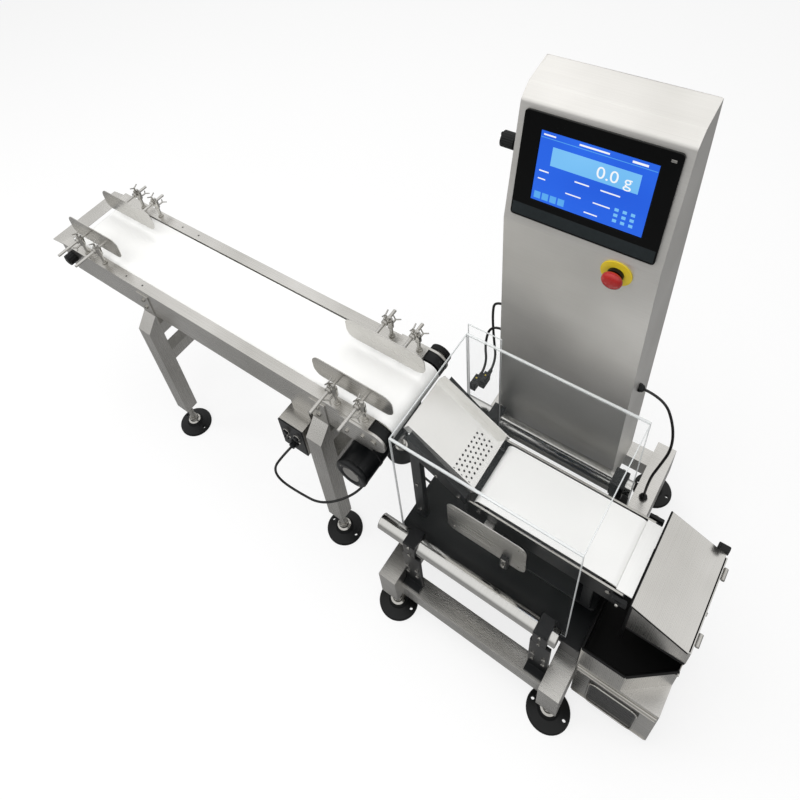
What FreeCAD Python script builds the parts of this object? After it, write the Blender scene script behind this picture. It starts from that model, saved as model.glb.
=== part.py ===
import FreeCAD, Part
import math
import os
import re

# Checkweigher: infeed belt conveyor, perforated slide, weigh conveyor under a clear cover,
# operator console behind it and a collecting bin at the outlet.
# X is the product flow, Y runs from the operator side to the console, Z is up.
# The origin is the middle of the front left foot of the weigher, on the floor.

doc = FreeCAD.newDocument("checkweigher")
sheet = doc.addObject("Spreadsheet::Sheet", "dims")
values = {}
derived = {}
exported = []


def dim(alias, value):
    """Write one driving dimension into the sheet under its own name."""
    row = len(values) + 1
    sheet.set(f"A{row}", alias)
    sheet.set(f"B{row}", str(value))
    sheet.setAlias(f"B{row}", alias)
    values[alias] = float(value)


def derive(word, text):
    """Name a place or size that follows from the driving dimensions."""
    derived[word] = text


# Infeed conveyor
dim("infeed_head_x", -82)
dim("infeed_length", 1058)
dim("infeed_front_y", 90)
dim("infeed_width", 236)
dim("infeed_top", 615)
dim("rail_height", 90)
dim("rail_flange", 28)
dim("rail_sheet", 2.5)
dim("rail_corner", 26)
dim("roller_radius", 26)
dim("shaft_radius", 7.5)
dim("head_overhang", 14)
dim("tail_inset", 35)
dim("belt_thickness", 2)
dim("belt_width", 176)
dim("bed_width", 160)
dim("bed_sheet", 2)
dim("crossbar_width", 30)
dim("crossbar_height", 26)
dim("head_plate_thickness", 6)
dim("head_plate_length", 90)
dim("tail_sheet_reach", 58)
dim("tail_sheet_drop", 8)
dim("tail_knob_radius", 17)
dim("tail_knob_width", 24)
dim("running_gap", 0.05)
dim("soft_gap", 0.3)

# Side guides of the infeed
dim("guide_length", 210)
dim("guide_height", 66)
dim("guide_sheet", 2)
dim("guide_corner", 24)
dim("guide_opening", 118)
dim("guide_shift", 17)
dim("guide_lift", 20)
dim("guide_head_inset", 40)
dim("guide_tail_inset", 20)
dim("guide_rod_radius", 4)
dim("guide_rod_spacing", 74)
dim("guide_rod_length", 96)
dim("clamp_width", 18)
dim("clamp_height", 30)
dim("clamp_post_radius", 5)
dim("wing_span", 30)

# Bolt heads
dim("bolt_head", 4)

# Infeed legs
dim("leg_tail_inset", 334)
dim("leg_head_inset", 140)
dim("leg_width", 44)
dim("leg_depth", 40)
dim("leg_bottom", 105)
dim("leg_wall", 3)
dim("leg_plate_height", 74)
dim("crossmember_height", 40)
dim("crossmember_low", 330)

# Levelling feet
dim("pad_radius", 48)
dim("pad_height", 22)
dim("pad_neck_radius", 20)
dim("stem_radius", 8)
dim("stem_sink", 14)
dim("anchor_hole_radius", 4)
dim("anchor_hole_circle", 37)
dim("nut_width", 24)
dim("nut_height", 12)
dim("nut_lift", 30)

# Infeed drive and its control box
dim("motor_radius", 40)
dim("motor_length", 160)
dim("motor_front_y", 46)
dim("motor_setback", 36)
dim("motor_z", 452)
dim("gearbox_length", 70)
dim("gearbox_side", 76)
dim("pulley_radius", 22)
dim("pulley_width", 16)
dim("drive_belt_thickness", 3)
dim("control_box_reach", 108)
dim("control_box_length", 72)
dim("control_box_depth", 92)
dim("control_box_height", 104)
dim("control_box_top", 486)
dim("control_panel_sheet", 4)

# Base frame of the weigher
dim("foot_spacing_y", 610)
dim("member_width", 45)
dim("member_height", 100)
dim("member_bottom", 95)
dim("member_overhang", 25)
dim("member_wall", 3)
dim("cross_rail_height", 50)
dim("front_rail_y", -4)
dim("middle_rail_y", 398)
dim("stand_side", 40)
dim("stand_height", 60)
dim("base_plate_sheet", 10)
dim("base_plate_front", 62)
dim("base_plate_back", 392)
dim("tube_radius", 19)
dim("tube_wall", 2)
dim("tube_start", -44)
dim("tube_inset", 20)
dim("tube_height", 322)
dim("tube_front_y", 42)
dim("tube_rear_y", 412)
dim("bracket_width", 44)
dim("bracket_sheet", 8)
dim("tube_clamp_depth", 46)
dim("tube_clamp_height", 48)
dim("tube_clamp_width", 30)

# Weigh conveyor
dim("weigh_top", 485)
dim("weigh_start", 142)
dim("weigh_length", 304)
dim("weigh_belt_width", 150)
dim("weigh_centre_y", 208)
dim("weigh_roller_radius", 16)
dim("weigh_shaft_radius", 5)
dim("weigh_belt_thickness", 1.5)
dim("weigh_rail_sheet", 6)
dim("weigh_rail_height", 52)
dim("weigh_side_gap", 3)
dim("load_cell_length", 150)
dim("load_cell_width", 40)
dim("load_cell_height", 36)
dim("load_cell_spacer", 14)
dim("platform_sheet", 8)
dim("weigh_motor_radius", 26)
dim("weigh_motor_length", 96)
dim("front_plate_length", 182)
dim("front_plate_height", 112)
dim("front_plate_start", 95)
dim("front_plate_top", 478)
dim("front_plate_corner", 18)
dim("front_plate_y", 100)

# Cover and slide
dim("cover_x", -13)
dim("cover_length", 400)
dim("cover_front_y", 72)
dim("cover_width", 302)
dim("cover_top", 670)
dim("cover_bottom", 265)
dim("cover_sheet", 5)
dim("slide_start_x", -26)
dim("slide_high", 604)
dim("slide_end_x", 132)
dim("slide_low", 497)
dim("slide_width", 142)
dim("slide_wall", 26)
dim("slide_sheet", 2)
dim("slide_hole_radius", 2.6)
dim("slide_hole_pitch", 12)
dim("slide_post_side", 16)

# Operator console
dim("console_x", 30)
dim("console_width", 296)
dim("console_front_y", 446)
dim("console_depth", 146)
dim("console_bottom", 195)
dim("console_slope_run", 52)
dim("console_slope_rise", 243)
dim("console_top", 1258)
dim("console_head_height", 278)
dim("console_sheet", 3)
dim("door_inset", 22)
dim("door_sheet", 3)
dim("bezel_width", 269)
dim("bezel_height", 216)
dim("bezel_up", 20)
dim("bezel_sheet", 6)
dim("screen_width", 204)
dim("screen_height", 142)
dim("screen_up", 64)
dim("screen_side", 48)
dim("estop_x", 254)
dim("estop_drop", 31)
dim("estop_radius", 29)
dim("estop_cap_radius", 19)
dim("estop_travel", 6)
dim("knob_radius", 16)
dim("knob_length", 26)
dim("knob_rise", 142)
dim("knob_y", 500)

# Collecting bin
dim("bin_length", 167)
dim("bin_overlap", 23.5)
dim("bin_front_y", 60)
dim("bin_back_y", 326)
dim("bin_bottom", 30)
dim("bin_ledge", 215)
dim("bin_lip_low", 302)
dim("bin_lip_high", 366)
dim("bin_hood_setback", 51.5)
dim("bin_hood_front", 122)
dim("bin_hood_top", 478)
dim("bin_hood_low", 424)
dim("bin_corner_run", 88)
dim("bin_corner_y", 128)
dim("bin_sheet", 2)
dim("drawer_height", 150)
dim("window_width", 92)
dim("window_height", 110)
dim("lid_sheet", 2.5)

# Leads
dim("cable_radius", 3)
dim("gland_radius", 8)
dim("gland_length", 10)

derive("infeed_tail_x", "infeed_head_x - infeed_length")
derive("leg_tail_x", "infeed_tail_x + leg_tail_inset")
derive("leg_head_x", "infeed_head_x - leg_head_inset")
derive("motor_x", "infeed_head_x - motor_setback")
derive("control_box_x", "leg_head_x - control_box_reach")
derive("bin_x", "weigh_start + weigh_length - bin_overlap")
derive("foot_spacing_x", "bin_x - member_width / 2")
derive("tube_length", "foot_spacing_x - tube_inset - tube_start")
derive("console_crease", "console_top - console_head_height")
derive("estop_z", "console_crease - estop_drop")
derive("knob_z", "console_crease + knob_rise")
derive("bin_hood_x", "bin_x + bin_hood_setback")
derive("bin_corner_x", "bin_x + bin_corner_run")

WORD = re.compile(r"[A-Za-z_]\w*")


def formula(text):
    """Turn words of the sheet into references that the document can follow."""

    def reference(match):
        word = match.group(0)
        return f"({formula(derived[word])})" if word in derived else f"dims.{word}"

    return WORD.sub(reference, str(text))


def number(text):
    """Work out a formula as a plain number, for places where no property can be bound."""
    return float(eval_terms(str(text)))


def eval_terms(text):
    """Add, subtract, multiply and divide the terms of a formula."""
    tokens = re.findall(r"[A-Za-z_]\w*|\d+\.?\d*|[-+*/()]", text)
    position = 0

    def factor():
        nonlocal position
        token = tokens[position]
        position += 1
        if token == "-":
            return -factor()
        if token == "(":
            inside = total()
            position += 1
            return inside
        if token in derived:
            return number(derived[token])
        return values[token] if token in values else float(token)

    def product():
        nonlocal position
        result = factor()
        while position < len(tokens) and tokens[position] in "*/":
            sign = tokens[position]
            position += 1
            result = result * factor() if sign == "*" else result / factor()
        return result

    def total():
        nonlocal position
        result = product()
        while position < len(tokens) and tokens[position] in "+-":
            sign = tokens[position]
            position += 1
            result = result + product() if sign == "+" else result - product()
        return result

    return total()


def place(obj, at):
    """Bind the position of an object to the sheet."""
    for axis, text in zip("xyz", at):
        obj.setExpression(f"Placement.Base.{axis}", formula(text))
    return obj


def box(name, size, at):
    """A rectangular block with its low corner at a point."""
    obj = doc.addObject("Part::Box", name)
    for key, text in zip(("Length", "Width", "Height"), size):
        obj.setExpression(key, formula(text))
    return place(obj, at)


TURNS = {
    "x": FreeCAD.Rotation(FreeCAD.Vector(0, 1, 0), 90),
    "y": FreeCAD.Rotation(FreeCAD.Vector(1, 0, 0), -90),
    "z": FreeCAD.Rotation(),
}


def cylinder(name, radius, length, at, axis="z"):
    """A round bar that starts at a point and runs along an axis."""
    obj = doc.addObject("Part::Cylinder", name)
    obj.setExpression("Radius", formula(radius))
    obj.setExpression("Height", formula(length))
    obj.Placement.Rotation = TURNS[axis]
    return place(obj, at)


def fuse(name, shapes):
    """Join shapes into one solid."""
    obj = doc.addObject("Part::MultiFuse", name)
    obj.Shapes = shapes
    obj.Refine = True
    return obj


def cut(name, base, tools):
    """Take one or more shapes away from another."""
    obj = doc.addObject("Part::Cut", name)
    obj.Base = base
    obj.Tool = tools[0] if len(tools) == 1 else fuse(name + "_tool", tools)
    return obj


def group(name, shapes):
    """Keep separate solids together under one name."""
    obj = doc.addObject("Part::Compound", name)
    obj.Links = shapes
    return obj


def keep(label, obj):
    """Give a sub-part its name and mark it for export."""
    obj.Label = label
    exported.append((label, obj))
    return obj


def plane_of(body, role):
    """Find one of a body's own origin planes."""
    return next(feature for feature in body.Origin.OriginFeatures if feature.Role == role)


def draw_outline(sketch, points):
    """Draw a closed outline whose corners are tied to the sheet."""
    import Sketcher
    spots = [FreeCAD.Vector(number(across), number(up), 0) for across, up in points]
    first = sketch.GeometryCount
    for index, spot in enumerate(spots):
        sketch.addGeometry(Part.LineSegment(spot, spots[(index + 1) % len(spots)]))
    for index in range(len(spots)):
        following = first + (index + 1) % len(spots)
        sketch.addConstraint(Sketcher.Constraint("Coincident", first + index, 2, following, 1))
    for index, (across, up) in enumerate(points):
        for kind, text in (("DistanceX", across), ("DistanceY", up)):
            found = sketch.addConstraint(Sketcher.Constraint(kind, -1, 1, first + index, 1, number(text)))
            sketch.setExpression(f"Constraints[{found}]", formula(text))


def draw_circle(sketch, across, up, radius):
    """Draw a circle whose centre and radius are tied to the sheet."""
    import Sketcher
    centre = FreeCAD.Vector(number(across), number(up), 0)
    index = sketch.addGeometry(Part.Circle(centre, FreeCAD.Vector(0, 0, 1), number(radius)))
    for kind, text in (("DistanceX", across), ("DistanceY", up)):
        found = sketch.addConstraint(Sketcher.Constraint(kind, -1, 1, index, 3, number(text)))
        sketch.setExpression(f"Constraints[{found}]", formula(text))
    found = sketch.addConstraint(Sketcher.Constraint("Radius", index, number(radius)))
    sketch.setExpression(f"Constraints[{found}]", formula(radius))


def extrusion(name, plane, outline, start, length, circles=(), openings=(), rounds=()):
    """A body padded from an outline; rounds lists corner numbers with their radius."""
    body = doc.addObject("PartDesign::Body", name)
    sketch = body.newObject("Sketcher::SketchObject", name + "_sketch")
    sketch.AttachmentSupport = [(plane_of(body, plane + "_Plane"), "")]
    sketch.MapMode = "FlatFace"
    offset = f"-({start} + {length})" if plane == "XZ" else start
    sketch.setExpression("AttachmentOffset.Base.z", formula(offset))
    draw_outline(sketch, outline)
    for opening in openings:
        draw_outline(sketch, opening)
    for across, up, radius in circles:
        draw_circle(sketch, across, up, radius)
    pad = body.newObject("PartDesign::Pad", name + "_pad")
    pad.Profile = sketch
    pad.setExpression("Length", formula(length))
    doc.recompute()
    for order, (corners, radius) in enumerate(rounds):
        add_rounds(body, name, plane, [outline[corner] for corner in corners], radius, order)
    return body


def add_rounds(body, name, plane, corners, radius, order):
    """Round the edges that stand on the given corners of an outline."""
    tip = body.Tip
    along = {"XY": 2, "XZ": 1, "YZ": 0}[plane]
    across = {"XY": (0, 1), "XZ": (0, 2), "YZ": (1, 2)}[plane]
    chosen = []
    for index, edge in enumerate(tip.Shape.Edges):
        ends = [vertex.Point for vertex in edge.Vertexes]
        if len(ends) != 2 or abs(ends[0][along] - ends[1][along]) < 1e-6:
            continue
        for corner in corners:
            target = [number(text) for text in corner]
            near = all(
                math.hypot(end[across[0]] - target[0], end[across[1]] - target[1]) < 1e-4 for end in ends
            )
            if near:
                chosen.append(f"Edge{index + 1}")
    fillet = body.newObject("PartDesign::Fillet", f"{name}_round{order}")
    fillet.Base = (tip, chosen)
    fillet.setExpression("Radius", formula(radius))
    doc.recompute()


def turned(name, outline, at, axis="z"):
    """A body turned from a half outline of radius and height, about an axis through a point."""
    body = doc.addObject("PartDesign::Body", name)
    sketch = body.newObject("Sketcher::SketchObject", name + "_sketch")
    sketch.AttachmentSupport = [(plane_of(body, "XZ_Plane"), "")]
    sketch.MapMode = "FlatFace"
    draw_outline(sketch, outline)
    turn = body.newObject("PartDesign::Revolution", name + "_turn")
    turn.Profile = sketch
    turn.ReferenceAxis = (sketch, ["V_Axis"])
    turn.Angle = 360
    body.Placement.Rotation = TURNS[axis]
    return place(body, at)


def loop(name, low_x, high_x, centre_z, inner, thickness, low_y, width):
    """A flat belt that runs round two rollers."""
    outer = f"({inner} + {thickness})"
    parts = []
    for label, radius in (("outer", outer), ("inner", inner)):
        ends = [
            cylinder(f"{name}_{label}_{side}", radius, width, (spot, low_y, centre_z), "y")
            for side, spot in (("low", low_x), ("high", high_x))
        ]
        run = box(
            f"{name}_{label}_run",
            (f"{high_x} - ({low_x})", width, f"2 * {radius}"),
            (low_x, low_y, f"{centre_z} - {radius}"),
        )
        parts.append(fuse(f"{name}_{label}", ends + [run]))
    return cut(name, parts[0], [parts[1]])


def lead(name, points, radius):
    """A round cable through hand-chosen points, with tangent arcs between its straight runs."""
    spots = [FreeCAD.Vector(*point) for point in points]
    edges = []
    start = spots[0]
    arcs = []
    for before, corner, after in zip(spots, spots[1:], spots[2:]):
        back = (before - corner).normalize()
        ahead = (after - corner).normalize()
        turn = math.pi - back.getAngle(ahead)
        reach = 0.45 * min(before.distanceToPoint(corner), after.distanceToPoint(corner))
        arcs.append(round(reach / math.tan(turn / 2), 1))
        first = corner + back * reach
        last = corner + ahead * reach
        bisector = (back + ahead).normalize()
        depth = arcs[-1] / math.cos(turn / 2) - arcs[-1]
        middle = corner + bisector * depth
        edges.append(Part.LineSegment(start, first).toShape())
        edges.append(Part.Arc(first, middle, last).toShape())
        start = last
    edges.append(Part.LineSegment(start, spots[-1]).toShape())
    spine = Part.Wire(edges)
    heading = (spots[1] - spots[0]).normalize()
    section = Part.Wire(Part.makeCircle(radius, spots[0], heading))
    shape = spine.makePipeShell([section], True, True)
    obj = doc.addObject("Part::Feature", name)
    obj.Shape = shape
    exact = math.pi * radius ** 2 * spine.Length
    print(f"{name}: length {spine.Length:.0f}, arcs {arcs}, volume ratio {shape.Volume / exact:.4f}")
    return obj


# Infeed conveyor
infeed_end_x = "infeed_tail_x + infeed_length"
infeed_back_y = "infeed_front_y + infeed_width"
rail_low = "infeed_top - rail_height"
head_axis_x = "(infeed_tail_x + infeed_length + head_overhang)"
tail_axis_x = "(infeed_tail_x + tail_inset)"
roller_z = "(infeed_top - 5 - belt_thickness - soft_gap - roller_radius)"
infeed_centre_y = "(infeed_front_y + infeed_width / 2)"


def infeed_rail(name, side):
    """One side channel of the infeed, open towards the belt, with a cut lower tail corner."""
    outer = "infeed_front_y" if side > 0 else f"({infeed_back_y})"
    sign = "+" if side > 0 else "-"
    outline = [
        (outer, rail_low),
        (f"{outer} {sign} rail_flange", rail_low),
        (f"{outer} {sign} rail_flange", f"{rail_low} + rail_sheet"),
        (f"{outer} {sign} rail_sheet", f"{rail_low} + rail_sheet"),
        (f"{outer} {sign} rail_sheet", "infeed_top - rail_sheet"),
        (f"{outer} {sign} rail_flange", "infeed_top - rail_sheet"),
        (f"{outer} {sign} rail_flange", "infeed_top"),
        (outer, "infeed_top"),
    ]
    channel = extrusion(name + "_channel", "YZ", outline, "infeed_tail_x", "infeed_length")
    web_low = outer if side > 0 else f"{outer} - rail_flange"
    corner = extrusion(
        name + "_corner",
        "XZ",
        [
            ("infeed_tail_x - 1", f"{rail_low} - 1"),
            ("infeed_tail_x + rail_corner", f"{rail_low} - 1"),
            ("infeed_tail_x - 1", f"{rail_low} + rail_corner + 1"),
        ],
        f"{web_low} - 1",
        "rail_flange + 2",
    )
    bore = cylinder(
        name + "_bore",
        "shaft_radius + running_gap",
        "rail_flange + 2",
        (tail_axis_x, f"{web_low} - 1", roller_z),
        "y",
    )
    slots = [
        cylinder(
            f"{name}_hole{index}",
            "2.6",
            "rail_sheet * 2",
            (f"{tail_axis_x} + {reach}", f"{web_low} + rail_flange / 2", "infeed_top - rail_sheet * 1.5"),
        )
        for index, reach in enumerate((228, 292))
    ]
    return cut(name, channel, [corner, bore] + slots)


infeed_rails = [infeed_rail("infeed_rail_near", 1), infeed_rail("infeed_rail_far", -1)]
keep("infeed_rails", group("infeed_rails", infeed_rails))

crossbars = [
    box(
        f"crossbar{index}",
        ("crossbar_width", "infeed_width - 2 * rail_sheet", "crossbar_height"),
        (
            f"{spot} - crossbar_width / 2",
            "infeed_front_y + rail_sheet",
            f"{roller_z} + roller_radius - bed_sheet - crossbar_height",
        ),
    )
    for index, spot in enumerate(("infeed_tail_x + 120", "leg_tail_x", "leg_head_x"))
]

bed = extrusion(
    "infeed_bed",
    "YZ",
    [
        (f"{infeed_centre_y} - bed_width / 2", f"{roller_z} + roller_radius - 10"),
        (f"{infeed_centre_y} - bed_width / 2 + bed_sheet", f"{roller_z} + roller_radius - 10"),
        (f"{infeed_centre_y} - bed_width / 2 + bed_sheet", f"{roller_z} + roller_radius - bed_sheet"),
        (f"{infeed_centre_y} + bed_width / 2 - bed_sheet", f"{roller_z} + roller_radius - bed_sheet"),
        (f"{infeed_centre_y} + bed_width / 2 - bed_sheet", f"{roller_z} + roller_radius - 10"),
        (f"{infeed_centre_y} + bed_width / 2", f"{roller_z} + roller_radius - 10"),
        (f"{infeed_centre_y} + bed_width / 2", f"{roller_z} + roller_radius"),
        (f"{infeed_centre_y} - bed_width / 2", f"{roller_z} + roller_radius"),
    ],
    f"{tail_axis_x} + roller_radius + 6",
    f"infeed_length + head_overhang - tail_inset - 2 * roller_radius - 12",
)
bed_notches = [
    box(
        f"bed_notch{index}",
        ("crossbar_width + 0.2", "bed_width + 2", "8.1"),
        (
            f"{spot} - crossbar_width / 2 - 0.1",
            f"{infeed_centre_y} - bed_width / 2 - 1",
            f"{roller_z} + roller_radius - bed_sheet - 8.1",
        ),
    )
    for index, spot in enumerate(("infeed_tail_x + 120", "leg_tail_x", "leg_head_x"))
]
keep("infeed_bed", group("infeed_bed", [cut("infeed_bed_cut", bed, bed_notches)] + crossbars))

keep(
    "infeed_belt",
    loop(
        "infeed_belt",
        tail_axis_x,
        head_axis_x,
        roller_z,
        "(roller_radius + soft_gap)",
        "belt_thickness",
        f"{infeed_centre_y} - belt_width / 2",
        "belt_width",
    ),
)


def roller(name, axis_x, axis_z, radius, face, low_y, shaft, shaft_low, shaft_length, extras=()):
    """A belt roller with its through shaft, and what is keyed on that shaft."""
    drum = cylinder(name + "_drum", radius, face, (axis_x, low_y, axis_z), "y")
    rod = cylinder(name + "_shaft", shaft, shaft_length, (axis_x, shaft_low, axis_z), "y")
    return keep(name, fuse(name, [drum, rod] + list(extras)))


derive("drive_y", f"{infeed_back_y} + head_plate_thickness + 6")
head_pulley = cylinder(
    "head_pulley", "pulley_radius", "pulley_width", (head_axis_x, "drive_y", roller_z), "y"
)
roller(
    "infeed_drive_roller",
    head_axis_x,
    roller_z,
    "roller_radius",
    "belt_width + 4",
    f"{infeed_centre_y} - belt_width / 2 - 2",
    "shaft_radius",
    "infeed_front_y - head_plate_thickness - 4",
    "infeed_width + 2 * head_plate_thickness + 12 + pulley_width",
    [head_pulley],
)
roller(
    "infeed_tail_roller",
    tail_axis_x,
    roller_z,
    "roller_radius",
    "belt_width + 4",
    f"{infeed_centre_y} - belt_width / 2 - 2",
    "shaft_radius",
    "infeed_front_y - tail_knob_width / 2",
    "infeed_width + tail_knob_width / 2 + 6",
)
knob = turned(
    "tail_knob",
    [
        ("0", "tail_knob_width / 2"),
        ("shaft_radius", "tail_knob_width / 2"),
        ("shaft_radius", "0"),
        ("tail_knob_radius - 3", "0"),
        ("tail_knob_radius", "3"),
        ("tail_knob_radius", "tail_knob_width - 4"),
        ("tail_knob_radius - 4", "tail_knob_width"),
        ("0", "tail_knob_width"),
    ],
    (tail_axis_x, "infeed_front_y - 0.5", roller_z),
    "y",
)
knob.Placement.Rotation = FreeCAD.Rotation(FreeCAD.Vector(1, 0, 0), 90)
keep("tail_knob", knob)


def head_plate(name, low_y):
    """A bearing plate with a round end, which carries the head roller's shaft."""
    plate = box(
        name + "_plate",
        ("head_plate_length", "head_plate_thickness", "2 * (roller_radius + 4)"),
        (f"{head_axis_x} - head_plate_length", low_y, f"{roller_z} - roller_radius - 4"),
    )
    nose = cylinder(
        name + "_nose", "roller_radius + 4", "head_plate_thickness", (head_axis_x, low_y, roller_z), "y"
    )
    bore = cylinder(
        name + "_bore",
        "shaft_radius + running_gap",
        "head_plate_thickness + 2",
        (head_axis_x, f"{low_y} - 1", roller_z),
        "y",
    )
    return cut(name, fuse(name + "_blank", [plate, nose]), [bore])


head_plates = [
    head_plate("infeed_head_plate_near", "infeed_front_y - head_plate_thickness"),
    head_plate("infeed_head_plate_far", infeed_back_y),
]

head_bolts = []
head_bolt_sides = {
    "near": "infeed_front_y - head_plate_thickness - bolt_head",
    "far": f"{infeed_back_y} + head_plate_thickness",
}
for side, low_y in head_bolt_sides.items():
    for index, (back, up) in enumerate(((28, 0), (72, 18), (72, -18))):
        spot = (f"{head_axis_x} - {back}", low_y, f"{roller_z} + {up}")
        head_bolts.append(cylinder(f"head_bolt_{side}{index}", "5", "bolt_head", spot, "y"))

tail_lip = extrusion(
    "tail_lip",
    "XZ",
    [
        ("infeed_tail_x + 4", "infeed_top - 8"),
        ("infeed_tail_x - tail_sheet_reach", "infeed_top - 8 - tail_sheet_drop"),
        ("infeed_tail_x - tail_sheet_reach", "infeed_top - 10 - tail_sheet_drop"),
        ("infeed_tail_x + 4", "infeed_top - 10"),
    ],
    "infeed_front_y + rail_sheet",
    "infeed_width - 2 * rail_sheet",
)
tail_ears = [
    box(
        f"tail_ear{index}",
        ("22", "2", "46"),
        ("infeed_tail_x", spot, "infeed_top - 55"),
    )
    for index, spot in enumerate(("infeed_front_y + rail_sheet", f"{infeed_back_y} - rail_sheet - 2"))
]
tail_sheet = fuse("infeed_tail_sheet", [tail_lip] + tail_ears)

# Side guides, their rods and clamps
guide_low = "(infeed_top + guide_lift)"
clamp_low = "(infeed_top + guide_lift + 12)"
rod_z = "(infeed_top + guide_lift + 12 + clamp_height / 2)"
guide_near_y = f"({infeed_centre_y} - guide_shift - guide_opening / 2 - guide_sheet)"
guide_far_y = f"({infeed_centre_y} - guide_shift + guide_opening / 2)"
guide_spots = {
    "head": f"({infeed_end_x} + guide_head_inset - guide_length)",
    "tail": "(infeed_tail_x + guide_tail_inset)",
}
post_offset = "(rail_flange / 2)"
clamps = []
posts = []
screws = []


def rod_places(start):
    """Where the two rods of a guide stand along the conveyor."""
    middle = f"({start} + guide_length / 2)"
    return (f"({middle} - guide_rod_spacing / 2)", f"({middle} + guide_rod_spacing / 2)")


def side_guide(name, start, plate_y, side):
    """A guide plate with round corners and the two rods that hold it."""
    plate = extrusion(
        name + "_plate",
        "XZ",
        [
            (start, guide_low),
            (f"{start} + guide_length", guide_low),
            (f"{start} + guide_length", f"{guide_low} + guide_height"),
            (start, f"{guide_low} + guide_height"),
        ],
        plate_y,
        "guide_sheet",
        rounds=[((0, 1, 2, 3), "guide_corner")],
    )
    rods = []
    for index, spot in enumerate(rod_places(start)):
        low_y = f"{plate_y} - guide_rod_length" if side < 0 else f"{plate_y} + guide_sheet"
        rod = f"{name}_rod{index}"
        rods.append(cylinder(rod, "guide_rod_radius", "guide_rod_length", (spot, low_y, rod_z), "y"))
    return keep(name, fuse(name, [plate] + rods))


def rod_clamp(name, rod_x, side):
    """A clamp block on its post, with the wing screw that locks the rod."""
    post_y = f"(infeed_front_y + {post_offset})" if side < 0 else f"({infeed_back_y} - {post_offset})"
    block = box(
        name + "_blank",
        ("clamp_width + 12", "clamp_width", "clamp_height"),
        (f"{rod_x} - clamp_width / 2", f"{post_y} - clamp_width / 2", clamp_low),
    )
    rod_bore = cylinder(
        name + "_rod_bore",
        "guide_rod_radius + running_gap",
        "clamp_width + 2",
        (rod_x, f"{post_y} - clamp_width / 2 - 1", rod_z),
        "y",
    )
    post_x = f"({rod_x} + clamp_width / 2 + 2)"
    post_bore = cylinder(
        name + "_post_bore", "clamp_post_radius", "clamp_height + 2", (post_x, post_y, f"{clamp_low} - 1")
    )
    clamps.append(cut(name, block, [rod_bore, post_bore]))
    posts.append(
        cylinder(
            name + "_post",
            "clamp_post_radius",
            f"{clamp_low} + clamp_height + 6 - infeed_top",
            (post_x, post_y, "infeed_top"),
        )
    )
    stud = cylinder(
        name + "_stud", "3", "14", (rod_x, post_y, f"{clamp_low} + clamp_height")
    )
    wing = box(
        name + "_wing",
        ("4", "wing_span", "9"),
        (f"{rod_x} - 2", f"{post_y} - wing_span / 2", f"{clamp_low} + clamp_height + 12"),
    )
    screws.append(fuse(name + "_screw", [stud, wing]))


for end, start in guide_spots.items():
    side_guide(f"guide_{end}_near", start, guide_near_y, -1)
    side_guide(f"guide_{end}_far", start, guide_far_y, 1)
    for index, spot in enumerate(rod_places(start)):
        rod_clamp(f"clamp_{end}_near{index}", spot, -1)
        rod_clamp(f"clamp_{end}_far{index}", spot, 1)
keep("guide_clamps", group("guide_clamps", clamps + posts + screws))

# Infeed legs: two welded trestles with a sloped shoulder under each rail
leg_bolts = []
legs = []


def leg_post(name, centre_x, side):
    """One hollow post of a trestle with its sloped shoulder and the plate on the rail."""
    sign = "-" if side < 0 else "+"
    face = "infeed_front_y" if side < 0 else f"({infeed_back_y})"
    outline = [
        (f"{face} {sign} leg_depth", "leg_bottom"),
        (face, "leg_bottom"),
        (face, rail_low),
        (f"{face} {sign} leg_wall", rail_low),
        (f"{face} {sign} leg_depth", f"{rail_low} - leg_depth"),
    ]
    solid = extrusion(name + "_solid", "YZ", outline, f"{centre_x} - leg_width / 2", "leg_width")
    low_y = f"{face} - leg_depth + leg_wall" if side < 0 else f"{face} + leg_wall"
    hollow = box(
        name + "_hollow",
        (
            "leg_width - 2 * leg_wall",
            "leg_depth - 2 * leg_wall",
            f"{rail_low} - leg_depth - leg_bottom - 2 * leg_wall",
        ),
        (f"{centre_x} - leg_width / 2 + leg_wall", low_y, "leg_bottom + leg_wall"),
    )
    stem_bore = cylinder(
        name + "_bore",
        "stem_radius",
        "leg_wall + 2",
        (centre_x, f"{face} {sign} leg_depth / 2", "leg_bottom - 1"),
    )
    plate_y = f"{face} - leg_wall" if side < 0 else face
    plate = box(
        name + "_plate",
        ("leg_width", "leg_wall", "leg_plate_height + 2"),
        (f"{centre_x} - leg_width / 2", plate_y, f"{rail_low} - 2"),
    )
    bolt_y = f"{face} - leg_wall - bolt_head" if side < 0 else f"{face} + leg_wall"
    for index, up in enumerate((26, 54)):
        leg_bolts.append(
            cylinder(f"{name}_bolt{index}", "6", "bolt_head", (centre_x, bolt_y, f"{rail_low} + {up}"), "y")
        )
    return fuse(name, [cut(name + "_tube", solid, [hollow, stem_bore]), plate])


for end in ("tail", "head"):
    centre = f"leg_{end}_x"
    near = leg_post(f"leg_{end}_near", centre, -1)
    far = leg_post(f"leg_{end}_far", centre, 1)
    bars = []
    for index, low in enumerate(("crossmember_low", f"{rail_low} - leg_depth - crossmember_height")):
        bar = box(
            f"leg_{end}_bar{index}",
            ("leg_width - 8", "infeed_width", "crossmember_height"),
            (f"{centre} - leg_width / 2 + 4", "infeed_front_y", low),
        )
        core = box(
            f"leg_{end}_core{index}",
            ("leg_width - 8 - 2 * leg_wall", "infeed_width - 2", "crossmember_height - 2 * leg_wall"),
            (f"{centre} - leg_width / 2 + 4 + leg_wall", "infeed_front_y + 1", f"{low} + leg_wall"),
        )
        bars.append(cut(f"leg_{end}_member{index}", bar, [core]))
    legs.append(fuse(f"leg_{end}", [near, far] + bars))
keep("infeed_legs", group("infeed_legs", legs))

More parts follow.
